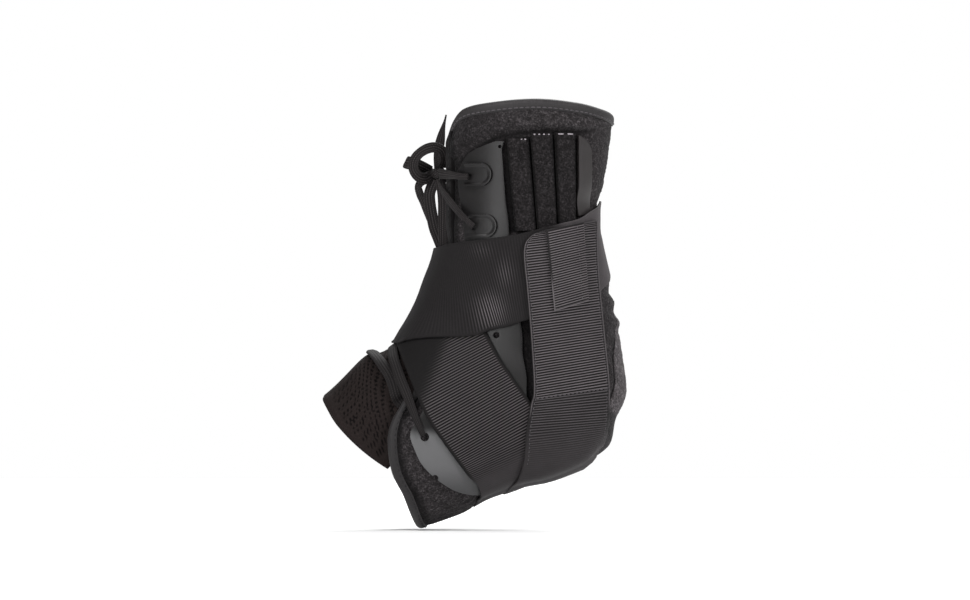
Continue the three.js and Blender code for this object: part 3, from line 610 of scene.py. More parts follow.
laceRoutes = {
    "lace_lower": [
        (-0.0593, -0.0427, -0.0455), (-0.0613, -0.0425, -0.0413), (-0.0632, -0.0418, -0.0367),
        (-0.0650, -0.0403, -0.0321), (-0.0667, -0.0386, -0.0275), (-0.0685, -0.0366, -0.0229),
        (-0.0704, -0.0340, -0.0184), (-0.0721, -0.0307, -0.0138), (-0.0735, -0.0267, -0.0097),
        (-0.0747, -0.0217, -0.0061), (-0.0752, -0.0149, -0.0027), (-0.0750, -0.0098, -0.0010),
        (-0.0739, -0.0064, 0.0003), (-0.0721, -0.0049, 0.0019),
    ],
    "lace_upper": [
        (-0.0368, -0.0355, 0.0853), (-0.0411, -0.0320, 0.0856), (-0.0440, -0.0272, 0.0861),
        (-0.0465, -0.0209, 0.0865), (-0.0490, -0.0150, 0.0869), (-0.0506, -0.0104, 0.0872),
        (-0.0512, -0.0070, 0.0873),
    ],
    "lace_cross": [
        (-0.0339, -0.0368, 0.0602), (-0.0364, -0.0354, 0.0624), (-0.0390, -0.0332, 0.0650),
        (-0.0416, -0.0292, 0.0678), (-0.0444, -0.0239, 0.0712), (-0.0471, -0.0190, 0.0748),
        (-0.0492, -0.0142, 0.0778), (-0.0506, -0.0096, 0.0802), (-0.0514, -0.0056, 0.0818),
    ],
    "lace_bar": [
        (-0.0743, -0.0327, -0.0256), (-0.0757, -0.0305, -0.0204), (-0.0777, -0.0277, -0.0157),
        (-0.0806, -0.0241, -0.0114), (-0.0832, -0.0190, -0.0079), (-0.0854, -0.0131, -0.0054),
        (-0.0871, -0.0067, -0.0041), (-0.0876, 0.0000, -0.0036), (-0.0871, 0.0067, -0.0041),
        (-0.0854, 0.0131, -0.0054), (-0.0832, 0.0190, -0.0079), (-0.0806, 0.0241, -0.0114),
        (-0.0777, 0.0277, -0.0157), (-0.0757, 0.0305, -0.0204), (-0.0743, 0.0327, -0.0256),
    ],
    "lace_loop_near": [
        (-0.0556, -0.0036, 0.0862), (-0.0582, -0.0062, 0.0848), (-0.0616, -0.0082, 0.0856),
        (-0.0642, -0.0094, 0.0888), (-0.0644, -0.0100, 0.0930), (-0.0622, -0.0102, 0.0968),
        (-0.0582, -0.0102, 0.0996), (-0.0538, -0.0098, 0.1006), (-0.0502, -0.0092, 0.0990),
        (-0.0487, -0.0084, 0.0958), (-0.0490, -0.0068, 0.0928), (-0.0502, -0.0046, 0.0908),
    ],
    "lace_loop_far": [
        (-0.0558, -0.0004, 0.0884), (-0.0588, -0.0012, 0.0900), (-0.0626, -0.0016, 0.0918),
        (-0.0660, -0.0010, 0.0929), (-0.0682, 0.0014, 0.0933), (-0.0678, 0.0048, 0.0930),
        (-0.0646, 0.0068, 0.0918), (-0.0606, 0.0066, 0.0902), (-0.0572, 0.0052, 0.0886),
        (-0.0550, 0.0036, 0.0874),
    ],
    "lace_end_up": [
        (-0.0519, -0.0012, 0.0862), (-0.0517, 0.0004, 0.0904), (-0.0519, 0.0015, 0.0952),
        (-0.0516, 0.0024, 0.1000), (-0.0508, 0.0029, 0.1046), (-0.0499, 0.0031, 0.1092),
        (-0.0488, 0.0030, 0.1136), (-0.0479, 0.0027, 0.1174),
    ],
    "lace_tail_far": [
        (-0.0561, 0.0016, 0.0845), (-0.0596, 0.0028, 0.0838), (-0.0620, 0.0040, 0.0812),
        (-0.0614, 0.0050, 0.0774), (-0.0594, 0.0054, 0.0726), (-0.0573, 0.0052, 0.0674),
        (-0.0548, 0.0048, 0.0616), (-0.0520, 0.0043, 0.0556), (-0.0500, 0.0039, 0.0496),
        (-0.0494, 0.0037, 0.0436),
    ],
    "lace_tail_near": [
        (-0.0538, -0.0030, 0.0840), (-0.0552, -0.0034, 0.0808), (-0.0564, -0.0036, 0.0766),
        (-0.0561, -0.0038, 0.0716), (-0.0551, -0.0039, 0.0656), (-0.0538, -0.0039, 0.0596),
        (-0.0518, -0.0038, 0.0542), (-0.0500, -0.0036, 0.0490), (-0.0494, -0.0035, 0.0436),
    ],
    "lace_tail_side": [
        (-0.0512, -0.0064, 0.0846), (-0.0503, -0.0084, 0.0806), (-0.0497, -0.0096, 0.0766),
        (-0.0494, -0.0099, 0.0716), (-0.0494, -0.0101, 0.0660), (-0.0494, -0.0101, 0.0602),
        (-0.0493, -0.0099, 0.0546), (-0.0492, -0.0096, 0.0494), (-0.0492, -0.0093, 0.0446),
    ],
}
# The bar lies a little closer in than its solid, and its ends go under the toe edges
tuck = raised(*(np.array(lace["barTuck"][key]) for key in ("at", "turn", "lift"))) * mm
closeBar = np.array(laceRoutes["lace_bar"]) + lace["barShift"]
laceRoutes["lace_bar"] = [*tuck, *closeBar, *(tuck[::-1] * (1, -1, 1))]
pairedLaces = ["lace_lower", "lace_upper", "lace_cross"]
# Which way a free lace's broad face looks along its length; the others look out from the boot
laceFaces = {
    "lace_loop_near": [
        (-0.2, -1.0, -0.4), (-0.7, -1.0, 0.1), (-0.3, -0.9, 0.6), (0.3, -1.0, 0.5), (0.5, -1.0, 0.1),
    ],
    "lace_loop_far": [
        (-0.2, -0.9, 0.6), (-0.4, -1.0, 0.6), (-0.9, -0.3, 0.4), (-0.3, 0.8, -0.6), (-0.2, 0.8, -0.6),
    ],
    "lace_end_up": [(-0.4, -0.9, 0.0), (-0.1, -1.0, 0.0), (0.2, -1.0, 0.1)],
    "lace_tail_far": [(-0.6, -0.8, 0.6), (-0.8, -0.6, 0.1), (-0.8, -0.7, 0.0), (-0.9, -0.5, 0.0)],
    "lace_tail_near": [(-0.3, -0.9, 0.2), (-0.2, -1.0, 0.0), (-0.2, -1.0, 0.0), (-0.5, -0.9, 0.0)],
    "lace_tail_side": [(-0.3, -1.0, 0.0), (-0.25, -1.0, 0.0), (-0.6, -0.8, 0.0)],
}


# A smooth curve through points, with points about a step apart
def curveThrough(points, step, fineness=24):
    points = np.asarray(points, float)
    padded = np.vstack([2 * points[0] - points[1], points, 2 * points[-1] - points[-2]])
    fine = []
    for k in range(len(points) - 1):
        p0, p1, p2, p3 = padded[k:k + 4]
        t = np.linspace(0, 1, fineness, endpoint=False)[:, None]
        fine.append(0.5 * (2 * p1 + (p2 - p0) * t + (2 * p0 - 5 * p1 + 4 * p2 - p3) * t ** 2
                           + (3 * p1 - p0 - 3 * p2 + p3) * t ** 3))
    line = np.vstack([*fine, points[-1:]])
    along = lengthsAlong(line)
    stops = np.linspace(0, along[-1], int(along[-1] / step) + 2)
    return np.stack([np.interp(stops, along, line[:, k]) for k in range(3)], -1), stops


# Which way the broad face looks at each point of a lace
def facesOf(name, line):
    share = np.linspace(0, 1, len(line))
    if name in laceFaces:
        table = np.array(laceFaces[name])
        keys = np.linspace(0, 1, len(table))
        return np.stack([np.interp(share, keys, table[:, k]) for k in range(3)], -1)
    at, turn = seenOnSkin(line[:, 0], line[:, 2])
    return normalAt(at, np.where(line[:, 1] > 0, -turn, turn))


# A flat braid along a line, with lengthwise ridges and the slant of the braid on both faces
def ribbon(name, line, along, faces, widths, shaded=0.0):
    tangent = unit(np.gradient(line, axis=0))
    normal = unit(faces - np.sum(faces * tangent, -1, keepdims=True) * tangent)
    side = np.cross(tangent, normal)
    x = np.sin(np.linspace(-math.pi / 2, math.pi / 2, lace["sides"]))
    crown = np.sqrt(np.clip(1 - np.abs(x) ** lace["squareness"], 0, 1))
    ridge = 0.5 + 0.5 * np.cos(2 * math.pi * lace["ridges"] * x)
    over = crown * (lace["thick"] / 2 - lace["ridgeDeep"] * (1 - ridge))
    ringX = np.concatenate([x, x[-2:0:-1]])
    ringY = np.concatenate([over, -over[-2:0:-1]])
    ringRidge = np.concatenate([ridge, ridge[-2:0:-1]])
    count = len(ringX)
    slant = along[:, None] / lace["braid"] + np.abs(ringX) * lace["braidLean"]
    weave = 0.5 + 0.5 * np.sin(2 * math.pi * slant)
    ringWide = ringX[None, :] * lace["wide"] / 2 * widths[:, None]
    ringHigh = ringY[None, :] * (0.75 + 0.25 * widths[:, None]) + lace["braidDeep"] * (weave - 0.5)
    points = line[:, None] + side[:, None] * ringWide[..., None] + normal[:, None] * ringHigh[..., None]
    litRelief = ringRidge[None, :] * (0.45 + 0.55 * weave)
    rows = len(line)
    i, j = np.meshgrid(np.arange(rows - 1), np.arange(count), indexing="ij")
    i, j = i.ravel(), j.ravel()
    nextJ = (j + 1) % count
    faces = np.stack([i * count + j, i * count + nextJ, (i + 1) * count + nextJ, (i + 1) * count + j], -1)
    caps = []
    for row in (0, rows - 1):
        for k in range(count // 2):
            ring = [k, k + 1, (count - k - 1) % count, (count - k) % count]
            quad = [row * count + r for r in ring]
            caps.append(quad if row else quad[::-1])
    caps = [quad for quad in caps if len(set(quad)) == 4]
    faces = np.concatenate([faces, np.array(caps)])
    flat = points.reshape(-1, 3)
    if insideOut(flat, faces):
        faces = faces[:, ::-1]
    # The braid's ridges are painted lighter as a painted highlight, and the shaded laces painted darker,
    # painted shade
    values = {"litRelief": litRelief, "shade": shaded + 0 * litRelief}
    return meshObject(name, flat, faces, values=values, materials=[finishes["lace"]], sharp=lace["sharp"])


def makeLace(name, side, sign):
    route = np.array(laceRoutes[name]) / mm * (1, sign, 1)
    line, along = curveThrough(route, lace["step"])
    widths = np.full(len(line), lace["broad"].get(name, 1.0))
    if name in pairedLaces:
        widths = mix(lace["bunched"], lace["spread"], ramp(0, lace["bunchLength"], along))
    if name == "lace_bar":
        fromMiddle = np.abs(along - along[-1] / 2)
        widths = widths * mix(lace["barMiddle"], 1, ramp(0, lace["barMiddleLength"], fromMiddle))
    if name == "lace_end_up":
        widths = mix(1, lace["tipWide"], ramp(1 - lace["tipShare"], 1, along / along[-1]))
    node = side + name
    piece = ribbon(node + "_braid", line, along, facesOf(name, line), widths, lace["shaded"].get(name, 0.0))
    finishPiece(piece, "lace", node)
    return piece, line * mm, along[-1] * mm


# The knot is a trefoil of the same braid, wound close
knot = {"middle": (-51.2, -2.6, 86.2), "half": (2.42, 1.288, 1.176), "count": 160, "broad": 0.95}


def makeKnot():
    t = np.linspace(0, 2 * math.pi, knot["count"])
    ring = np.stack([np.sin(3 * t), np.sin(t) + 2 * np.sin(2 * t), np.cos(t) - 2 * np.cos(2 * t)], -1)
    ring = ring * knot["half"]
    line = ring + knot["middle"]
    widths = np.full(len(line), knot["broad"])
    piece = ribbon("lace_knot_braid", line, lengthsAlong(line), ring, widths)
    return finishPiece(piece, "lace", "lace_knot")


knotPiece = makeKnot()
pairs = [(side + "_", sign) for side, sign in sides]
for name in laceRoutes:
    for side, sign in pairs if name in pairedLaces else [("", 1)]:
        piece, line, length = makeLace(name, side, sign)
        held = [knotPiece] if name == "lace_end_up" else []
print("laces made")

# Padded side panels of loop fabric, from the collar down to the toe binding. A band is where its effect
# starts, is full, falls and ends.
panel = {
    "rows": 192, "cols": 102, "wide": 95, "seamRound": 1.6,
    "curl": 1.7, "curlDeep": 0.3, "puff": 9.0, "puffDeep": 0.3, "ground": 0.45,
    "roll": 2.8, "rollRise": 0.325, "rollRound": 1.08, "rollEnds": (140, 172),
    "rollEdge": np.array([  # turn, at of the lower edge of the roll
        (20, -36), (37, -40.8), (54.5, -47.9), (71.4, -53), (86.5, -55), (133, -55.5), (180, -58),
    ]),
    "press": 0.9, "pressed": (42.2, 43.8, 65, 68), "pressedTurn": (146, 162),
    "toeLit": 0.04, "toeLitAt": (66, 74),
    "gathers": {"band": (8.6, 10.6, 19, 21), "count": 3, "deep": 0.9, "behind": (142, 166)},
}
panelShade = {  # how dark, and the bands in mm or degrees, or shares of the panel, where it is
    "channels": {"dark": 0.9, "x": (-20, -18, 18, 20), "z": (56, 58, 104, 106)},
    "underRoll": {"dark": 0.85, "middle": -0.1, "wide": 0.14, "turn": (128, 150)},
    "besidePlate": {"dark": 0.8, "x": (-16, -13, 0, 3), "z": (-44, -38, 14, 18)},
    "seams": {"dark": 0.8, "front": (0.03, 0.07), "toe": (0.985, 0.993)},
    "roll": {"dark": 0.45, "up": (0, 0.2), "turn": (40, 95)},
}


# Folds in the loop fabric above the heel panel
def gather(at, turn):
    fold = panel["gathers"]
    low, _, _, high = fold["band"]
    wave = np.sin((at - low) / (high - low) * fold["count"] * 2 * math.pi)
    return within(fold["band"], at) * ramp(*fold["behind"], np.abs(turn)) * fold["deep"] * wave


def rearSeam(at):
    return np.minimum(180, read(rearEdge, at))


# Degrees round the bend that the toe binding takes up
def toeBand(turn):
    edge = skin(read(toeEdge, turn), turn)
    reach = np.hypot(edge[..., 0] - bend["x"], edge[..., 2] - bend["z"])
    return np.degrees(sizes["toeBindingWide"] / reach)


# The place a share u of the way from the collar to the toe binding, where turnAt gives its turn
def belowCollar(u, turnAt, rounds=6):
    at = mix(topEdge[-1, 1], toeEdge[-1, 1], u)
    for _ in range(rounds):
        turn = turnAt(at)
        top = read(topEdge, turn) + sizes["collarHeight"] - sizes["seamLap"]
        toe = read(toeEdge, turn) - toeBand(turn) + sizes["seamLap"]
        at = mix(top, toe, u)
    return at, turn


# How far the pile of the loop fabric stands out, and how lit it is
def curls(at, turn, lift=0.0):
    spots = raised(at, turn, lift + 0 * at)
    fine = lumps(spots, panel["curl"], 2)
    broad = lumps(spots, panel["puff"], 1)
    return fine * panel["curlDeep"] + broad * panel["puffDeep"], np.clip(panel["ground"] + fine, 0, 1)


# How far the straps press the padding in under the sole
def pressed(at, turn):
    return panel["press"] * within(panel["pressed"], at) * ramp(*panel["pressedTurn"], turn)


# A turn past the middle of the back, as the same place on the lateral side
def foldedTurn(turn):
    return 180 - np.abs(180 - turn)


def shadeOfPanel(u, v, at, turn, up):
    spots = skin(at, turn)
    x, z = spots[..., 0], spots[..., 2]
    channels, under, plateSide = (panelShade[key] for key in ("channels", "underRoll", "besidePlate"))
    seams, roll = panelShade["seams"], panelShade["roll"]
    darks = [
        channels["dark"] * within(channels["x"], x) * within(channels["z"], z),
        under["dark"] * nearLine(up, under["middle"], under["wide"]) * (1 - ramp(*under["turn"], turn)),
        plateSide["dark"] * within(plateSide["x"], x) * within(plateSide["z"], z),
        seams["dark"] * np.maximum(1 - ramp(*seams["front"], v), ramp(*seams["toe"], u)),
        ramp(*roll["up"], up) * mix(roll["dark"], 0, ramp(*roll["turn"], turn)),
    ]
    return np.max(darks, axis=0)


def onPanel(u, v):
    def turnAt(at):
        start = read(lacingEdge, at) + sizes["frontBindingTurn"] + sizes["seamTurn"]
        return mix(start, rearSeam(at) - sizes["seamTurn"], v)
    at, turn = belowCollar(u, turnAt)
    fold = gather(at, turn)
    top, rollEdge = read(topEdge, turn) + sizes["collarHeight"], read(panel["rollEdge"], turn)
    up = (rollEdge - at) / (rollEdge - top)
    crown = np.clip(panel["rollRound"] - np.clip(up, 0, 1) ** 3, 0, 1)
    roll = panel["roll"] * ramp(0, panel["rollRise"], up) * crown * (1 - ramp(*panel["rollEnds"], turn))
    lump, litRelief = curls(at, turn)
    seam = edgeFall(np.minimum(v, 1 - v) * panel["wide"], panel["seamRound"])
    return {"at": at, "turn": turn, "low": fold - sizes["panelThick"],
            "high": fold + roll + lump - seam - pressed(at, turn),
            "litRelief": litRelief + panel["toeLit"] * ramp(*panel["toeLitAt"], at),
            "shade": shadeOfPanel(u, v, at, turn, up)}


panelUs, panelVs = np.linspace(0, 1, panel["rows"]), edged(panel["cols"], panel["wide"])
for side, sign in sides:
    piece = wall(side + "_panel_fleece", panelUs, panelVs, onPanel, [finishes["fleece"], finishes["lining"]],
                 sign=sign)
    finishPiece(piece, "loop_fabric", side + "_panel")
print("panels made")

# Heel panel of paler loop fabric between the rear seams
heel = {
    "low": 13.6, "high": 44.6, "rows": 90, "cols": 90, "wide": 50, "crown": 0.5, "bound": (33.6, 35.0),
    "boundDark": 0.75, "boundFlat": 0.8, "seam": (0.4, 1.5), "seamDark": 0.85,
}


def onHeel(u, v):
    at = mix(heel["low"], heel["high"], u)
    edge = rearSeam(at) + sizes["seamTurn"]
    turn = mix(edge, 360 - edge, v)
    fold = gather(at, foldedTurn(turn))
    lump, litRelief = curls(at, turn)
    toSeam = np.minimum(v, 1 - v) * heel["wide"]
    seam = edgeFall(toSeam, panel["seamRound"])
    crown = heel["crown"] * np.sin(math.pi * u) * np.sin(math.pi * v)
    bound = ramp(*heel["bound"], at)
    high = fold + lump * (1 - heel["boundFlat"] * bound) - seam + crown - pressed(at, foldedTurn(turn))
    # The strip low down is darker, and the seams get painted shade
    dark = np.maximum(heel["boundDark"] * bound, heel["seamDark"] * (1 - ramp(*heel["seam"], toSeam)))
    return {"at": at, "turn": turn, "low": fold - sizes["panelThick"], "high": high, "litRelief": litRelief,
            "shade": dark}


heelUs, heelVs = np.linspace(0, 1, heel["rows"]), edged(heel["cols"], heel["wide"])
piece = wall("heel_panel_fleece", heelUs, heelVs, onHeel, [finishes["paleFleece"], finishes["lining"]])
finishPiece(piece, "loop_fabric", "heel_panel")

# Tongue of open net
tongue = {
    "top": -49, "tip": 104.5, "side": 83, "topTurn": 40, "toeTurn": 109, "spread": 2.2, "endPower": 2.25,
    "depth": 4.8, "thick": 2.0, "rows": 230, "cols": 120, "wide": 100, "pitchLong": 3.0, "pitchWide": 2.4,
    "lean": 0.28, "hole": (0.05, 0.6), "holeDeep": 0.7,
    "hemWide": 90, "hemLong": 150, "hem": (1.5, 3.0), "hemRound": 0.9,
    "bulge": {"proud": 3.4, "at": (50, 72), "turn": (14, 46)},
    "ridge": {"proud": 1.8, "at": (54, 70, 73, 83), "turn": (-2, 17)},
}


def onTongue(u, v):
    side = mix(tongue["topTurn"], tongue["toeTurn"], u ** tongue["spread"])
    turn = mix(-side, side, v)
    end = mix(tongue["tip"], tongue["side"], (np.abs(turn) / tongue["toeTurn"]) ** tongue["endPower"])
    at = mix(tongue["top"], end, u)
    bulge, ridge = tongue["bulge"], tongue["ridge"]
    inThroat = 1 - ramp(*bulge["turn"], np.abs(turn))
    onRidge = within(ridge["at"], at) * (1 - ramp(*ridge["turn"], np.abs(turn)))
    high = bulge["proud"] * inThroat * ramp(*bulge["at"], at) + ridge["proud"] * onRidge - tongue["depth"]
    along, across = clothLengths(raised(at, turn, high))
    along = along + tongue["lean"] * np.abs(across)
    net = np.cos(2 * math.pi * along / tongue["pitchLong"]) * np.cos(math.pi * across / tongue["pitchWide"])
    toEdge = np.minimum(np.minimum(v, 1 - v) * tongue["hemWide"], (1 - u) * tongue["hemLong"])
    hole = ramp(*tongue["hole"], net) * ramp(*tongue["hem"], toEdge)
    # The material paints the holes dark, painted shade
    return {"at": at, "turn": turn, "low": high - tongue["thick"], "litRelief": 1 - hole,
            "high": high - hole * tongue["holeDeep"] - edgeFall(toEdge, tongue["hemRound"])}


tongueUs, tongueVs = np.linspace(0, 1, tongue["rows"]), edged(tongue["cols"], tongue["wide"])
piece = wall("tongue_net", tongueUs, tongueVs, onTongue, [finishes["net"], finishes["lining"]])
finishPiece(piece, "mesh_lining", "tongue")
print("heel and tongue made")

# Bindings: tape folded over the top, lacing and toe edges
binding = {
    "low": -3.5, "high": 0.5, "foldRound": 1.9, "edgeRound": 0.4, "crown": 0.25, "crownRise": 2.5,
    "crownFall": 2.0,
    "grooveShade": {"dark": 0.7, "middle": 1.1, "wide": (0.3, 1.3)},
    "collarShade": {"dark": 0.5, "down": (1.6, 3.2), "frontDark": 0.6, "front": (35, 75)},
    "toeShade": {"dark": 0.9, "share": (0.3, 0.6)},
    "frontWide": 6.0, "legPad": 1.4, "legPadAt": (-10, 2),
    "rows": {"collar": 270, "front": 150, "toe": 120}, "spans": {"collar": 5.6, "front": 6.0, "toe": 5.0},
    "cols": 10, "edgeBand": 2.0, "sharp": 50,
}


def tapeWall(at, turn, fromFold, fromEdge):
    fall = edgeFall(fromFold, binding["foldRound"]) + edgeFall(fromEdge, binding["edgeRound"])
    middle = 1 - ramp(0, binding["crownFall"], binding["crownFall"] - fromEdge)
    # Painted shade along a groove near the tape's edge
    crown = binding["crown"] * ramp(0, binding["crownRise"], fromFold) * middle
    grooveShade = binding["grooveShade"]
    dark = grooveShade["dark"] * (1 - ramp(*grooveShade["wide"], np.abs(fromEdge - grooveShade["middle"])))
    return {"at": at, "turn": turn, "low": binding["low"] + fall, "high": binding["high"] + crown - fall,
            "shade": dark}


def onCollar(u, v):
    turn = mix(lacingEdge[0, 1], 360 - lacingEdge[0, 1], u)
    down = sizes["collarHeight"] * v
    spot = tapeWall(read(topEdge, foldedTurn(turn)) + down, turn, down, sizes["collarHeight"] * (1 - v))
    dim = binding["collarShade"]
    atFront = 1 - ramp(*dim["front"], foldedTurn(turn))
    dark = np.maximum(dim["dark"] * ramp(*dim["down"], down), dim["frontDark"] * atFront)
    return {**spot, "shade": np.maximum(spot["shade"], dark)}


def onFrontBinding(u, v):
    at, turn = belowCollar(u, lambda at: read(lacingEdge, at) + sizes["frontBindingTurn"] * v)
    spot = tapeWall(at, turn, binding["frontWide"] * v, binding["frontWide"] * (1 - v))
    return {**spot, "high": spot["high"] + binding["legPad"] * (1 - ramp(*binding["legPadAt"], at))}


def onToeBinding(u, v):
    turn = mix(lacingEdge[-1, 1] - sizes["toeBindingLap"], 180 - sizes["seamTurn"], u)
    at = read(toeEdge, turn) - toeBand(turn) * (1 - v)
    wide, dim = sizes["toeBindingWide"], binding["toeShade"]
    spot = tapeWall(at, turn, wide * (1 - v), wide * v)
    return {**spot, "shade": np.maximum(spot["shade"], dim["dark"] * (1 - ramp(*dim["share"], u)))}


def makeBinding(edge, side, place, finish, sign=1):
    us = np.linspace(0, 1, binding["rows"][edge])
    vs = edged(binding["cols"], binding["spans"][edge], binding["edgeBand"])
    node = side + edge + "_binding"
    piece = wall(node + "_tape", us, vs, place, [finishes[finish]], sign=sign, sharp=binding["sharp"])
    finishPiece(piece, "binding", node)


makeBinding("collar", "", onCollar, "tape")
for side, sign in sides:
    # The front bindings take the tape painted darker, as painted shade
    makeBinding("front", side + "_", onFrontBinding, "shadedTape", sign)
    makeBinding("toe", side + "_", onToeBinding, "tape", sign)
print("bindings made")


# Stitches: short threads in a row along a line on the boot, each sunk at its ends
stitch = {"rings": 5, "around": 6, "taper": 0.82, "sink": 1.3, "points": 300, "sharp": 80}
share = np.linspace(0, 1, stitch["points"])


def stitchRow(name, line, normals, slot, material, length=2.2, pitch=3.0, radius=0.28):
    along = lengthsAlong(line)
    count = max(2, int(along[-1] / pitch))
    rings, around = stitch["rings"], stitch["around"]
    t = np.linspace(-1, 1, rings)
    angles = np.arange(around) / around * 2 * math.pi
    points, faces = [], []
    for k in range(count):
        stops = (k + 0.5) * along[-1] / count + t * length / 2
        middle = np.stack([np.interp(stops, along, line[:, c]) for c in range(3)], -1)
        up = unit(np.stack([np.interp(stops, along, normals[:, c]) for c in range(3)], -1))
        ahead = unit(np.gradient(middle, axis=0))
        side = np.cross(ahead, up)
        thick = radius * np.sqrt(1 - stitch["taper"] * t ** 2)
        middle = middle - up * (radius * stitch["sink"] * np.abs(t) ** 3)[:, None]
        ring = side[:, None] * np.cos(angles)[None, :, None] + up[:, None] * np.sin(angles)[None, :, None]
        points.append((middle[:, None] + ring * thick[:, None, None]).reshape(-1, 3))
        base = k * rings * around
        for a in range(base, base + (rings - 1) * around, around):
            for b in range(around):
                c = (b + 1) % around
                faces.append([a + b, a + c, a + around + c, a + around + b])
        for row in (0, rings - 1):
            for quad in ([0, 1, 2, 3], [0, 3, 4, 5]):
                corners = [base + row * around + corner for corner in quad]
                faces.append(corners if row else corners[::-1])
    points, faces = np.concatenate(points), np.array(faces)
    piece = meshObject(name, points, faces, materials=[material], sharp=stitch["sharp"])
    bpy.ops.object.mode_set(mode="EDIT")
    bpy.ops.mesh.select_all(action="SELECT")
    bpy.ops.mesh.normals_make_consistent(inside=False)
    bpy.ops.object.mode_set(mode="OBJECT")
    return finishPiece(piece, slot)


def stitchOn(name, at, turn, lift, slot, material="thread", **thread):
    at, turn = np.broadcast_arrays(np.asarray(at, float), np.asarray(turn, float))
    line, normals = raised(at, turn, lift + 0 * at), normalAt(at, turn)
    return stitchRow(name, line, normals, slot, finishes[material], **thread)


bindingStitches = {  # share across the tape, height above it in mm
    "collar": (0.79, 0.1), "toe": (0.2, 0.05), "front": (0.82, 0.05),
}
# The collar's stitches are long and set nearly end to end in the paler thread: real stitching, and a painted
# highlight along the binding's lower edge
collarStitchAndHighlight = {"length": 2.7, "pitch": 2.9, "radius": 0.32}


def stitchBinding(edge, side, place, sign=1, material="darkThread", **thread):
    across, above = bindingStitches[edge]
    spot = place(share, np.full(len(share), across))
    stitchOn(side + edge + "_stitches", spot["at"], sign * spot["turn"], spot["high"] + above, "binding",
             material, **thread)


stitchBinding("collar", "", onCollar, 1, "thread", **collarStitchAndHighlight)
for side, sign in sides:
    stitchBinding("toe", side + "_", onToeBinding, sign)
    stitchBinding("front", side + "_", onFrontBinding, sign)
print("binding stitches made")

# Straps of ribbed elastic, each rib a real ridge
ribs = {
    "pitch": 1.36, "samples": 6, "deep": 0.4, "sharpness": 1.2, "selvage": (0.96, 1.6), "edgeRound": 0.45,
    "mean": 0.4, "calmLit": 0.32,
}


def ribWave(phase):
    return (0.5 + 0.5 * np.cos(2 * math.pi * phase)) ** ribs["sharpness"]


# Positions along a strap, evenly spaced in mm, and the distance in mm at each position
def alongStrap(place, pitch, samples):
    u, along = middleLength(place)
    count = round(along[-1] / pitch) * samples
    return np.interp(np.linspace(0, along[-1], count + 1), along, u), (u, along)


# The lifts of a ribbed strap from its base, with smooth selvages. strength is 0 to 1 over the strap.
def webWall(at, turn, low, thick, phase, toEdge, strength, deep=None):
    ribbed = ramp(*ribs["selvage"], toEdge) * strength
    wave = ribWave(phase) * ribbed
    fall = edgeFall(toEdge, ribs["edgeRound"])
    deep = ribs["deep"] if deep is None else deep
    high = low + thick + deep * (wave - ribs["mean"] * ribbed) - fall
    litRelief = np.clip(wave + ribs["calmLit"] * (1 - ribbed), 0, 1)
    return {"at": at, "turn": turn, "low": low + fall / 2, "high": high, "litRelief": litRelief}


wrap = {
    "edges": np.array([  # turn, upper edge, lower edge
        (0, 6.8, 72.8), (17, 5.6, 69.6), (36, 2.6, 60.3), (52, 0.7, 48.4), (70, -0.8, 34.7),
        (88, -2.8, 26.0), (118, -8.2, 18.6), (135, -10.8, 14.6), (150, -15.2, 11.4), (180, -20.0, 8.2),
    ]),
    "lifts": np.array([  # turn, lift
        (0, 3.5), (12, 3.6), (28, 4.6), (45, 4.8), (105, 4.8), (122, 4.0), (140, 3.3), (154, 2.9),
        (168, 1.2), (180, 0.8),
    ]),
    "slant": np.array([  # turn of a rib at the upper edge, how much further round it is at the lower edge
        (0, 0), (30, 16), (48.8, 20.9), (65, 13), (79.5, 5.5), (100, 0), (180, 0),
    ]),
    # In these patches the ribs stand up and their crests are painted lighter, a painted highlight
    "lit": [  # x and z of a patch where the ribs stand up, its half width and height, strength
        (-25.2, 17.6, 7.5, 8.5, 0.95), (-17.9, 36.4, 4.2, 7.0, 0.45), (-29.6, 48.0, 5.0, 3.4, 0.3),
    ],
    "pitch": 1.34, "wide": 50.0, "cols": 11, "edgeBand": 1.8, "calm": 0.06, "deep": 0.28,
    "straight": (18, 34, 120, 140), "tuck": 1.3, "tuckShare": (0.88, 1), "tuckTurn": (18, 32),
    "rearLit": 0.28, "rearLitTurn": (108, 124),
}


def wrapBase(turn):
    return read(wrap["lifts"], np.abs(turn))


def wrapTop(at, turn):
    return wrapBase(turn) + sizes["webThick"]


# Each rib runs from the upper to the lower edge, and at the sides it looks straight
def wrapAt(u, v):
    turn = mix(-180, 180, u)
    upperTurn = np.abs(turn)
    lowerTurn = upperTurn + read(wrap["slant"], upperTurn)
    upper, lower = read(wrap["edges"], upperTurn, 1), read(wrap["edges"], lowerTurn, 2)
    first = raised(upper, upperTurn, wrapTop(upper, upperTurn))
    last = raised(lower, lowerTurn, wrapTop(lower, lowerTurn))
    line = mix(first, last, v[..., None])
    lineAt, lineTurn = seen(line[..., 0], line[..., 2], wrapTop)
    straight = within(wrap["straight"], upperTurn)
    at = mix(mix(upper, lower, v), lineAt, straight)
    around = mix(mix(upperTurn, lowerTurn, v), lineTurn, straight)
    tuck = wrap["tuck"] * ramp(*wrap["tuckShare"], v) * (1 - ramp(*wrap["tuckTurn"], around))
    return at, np.where(turn < 0, -around, around), wrapBase(around) - tuck


def plainWrap(u, v):
    at, turn, low = wrapAt(u, v)
    return {"at": at, "turn": turn, "high": low + sizes["webThick"]}


wrapUs, wrapTable = alongStrap(plainWrap, wrap["pitch"], ribs["samples"])
wrapLength = wrapTable[1][-1]


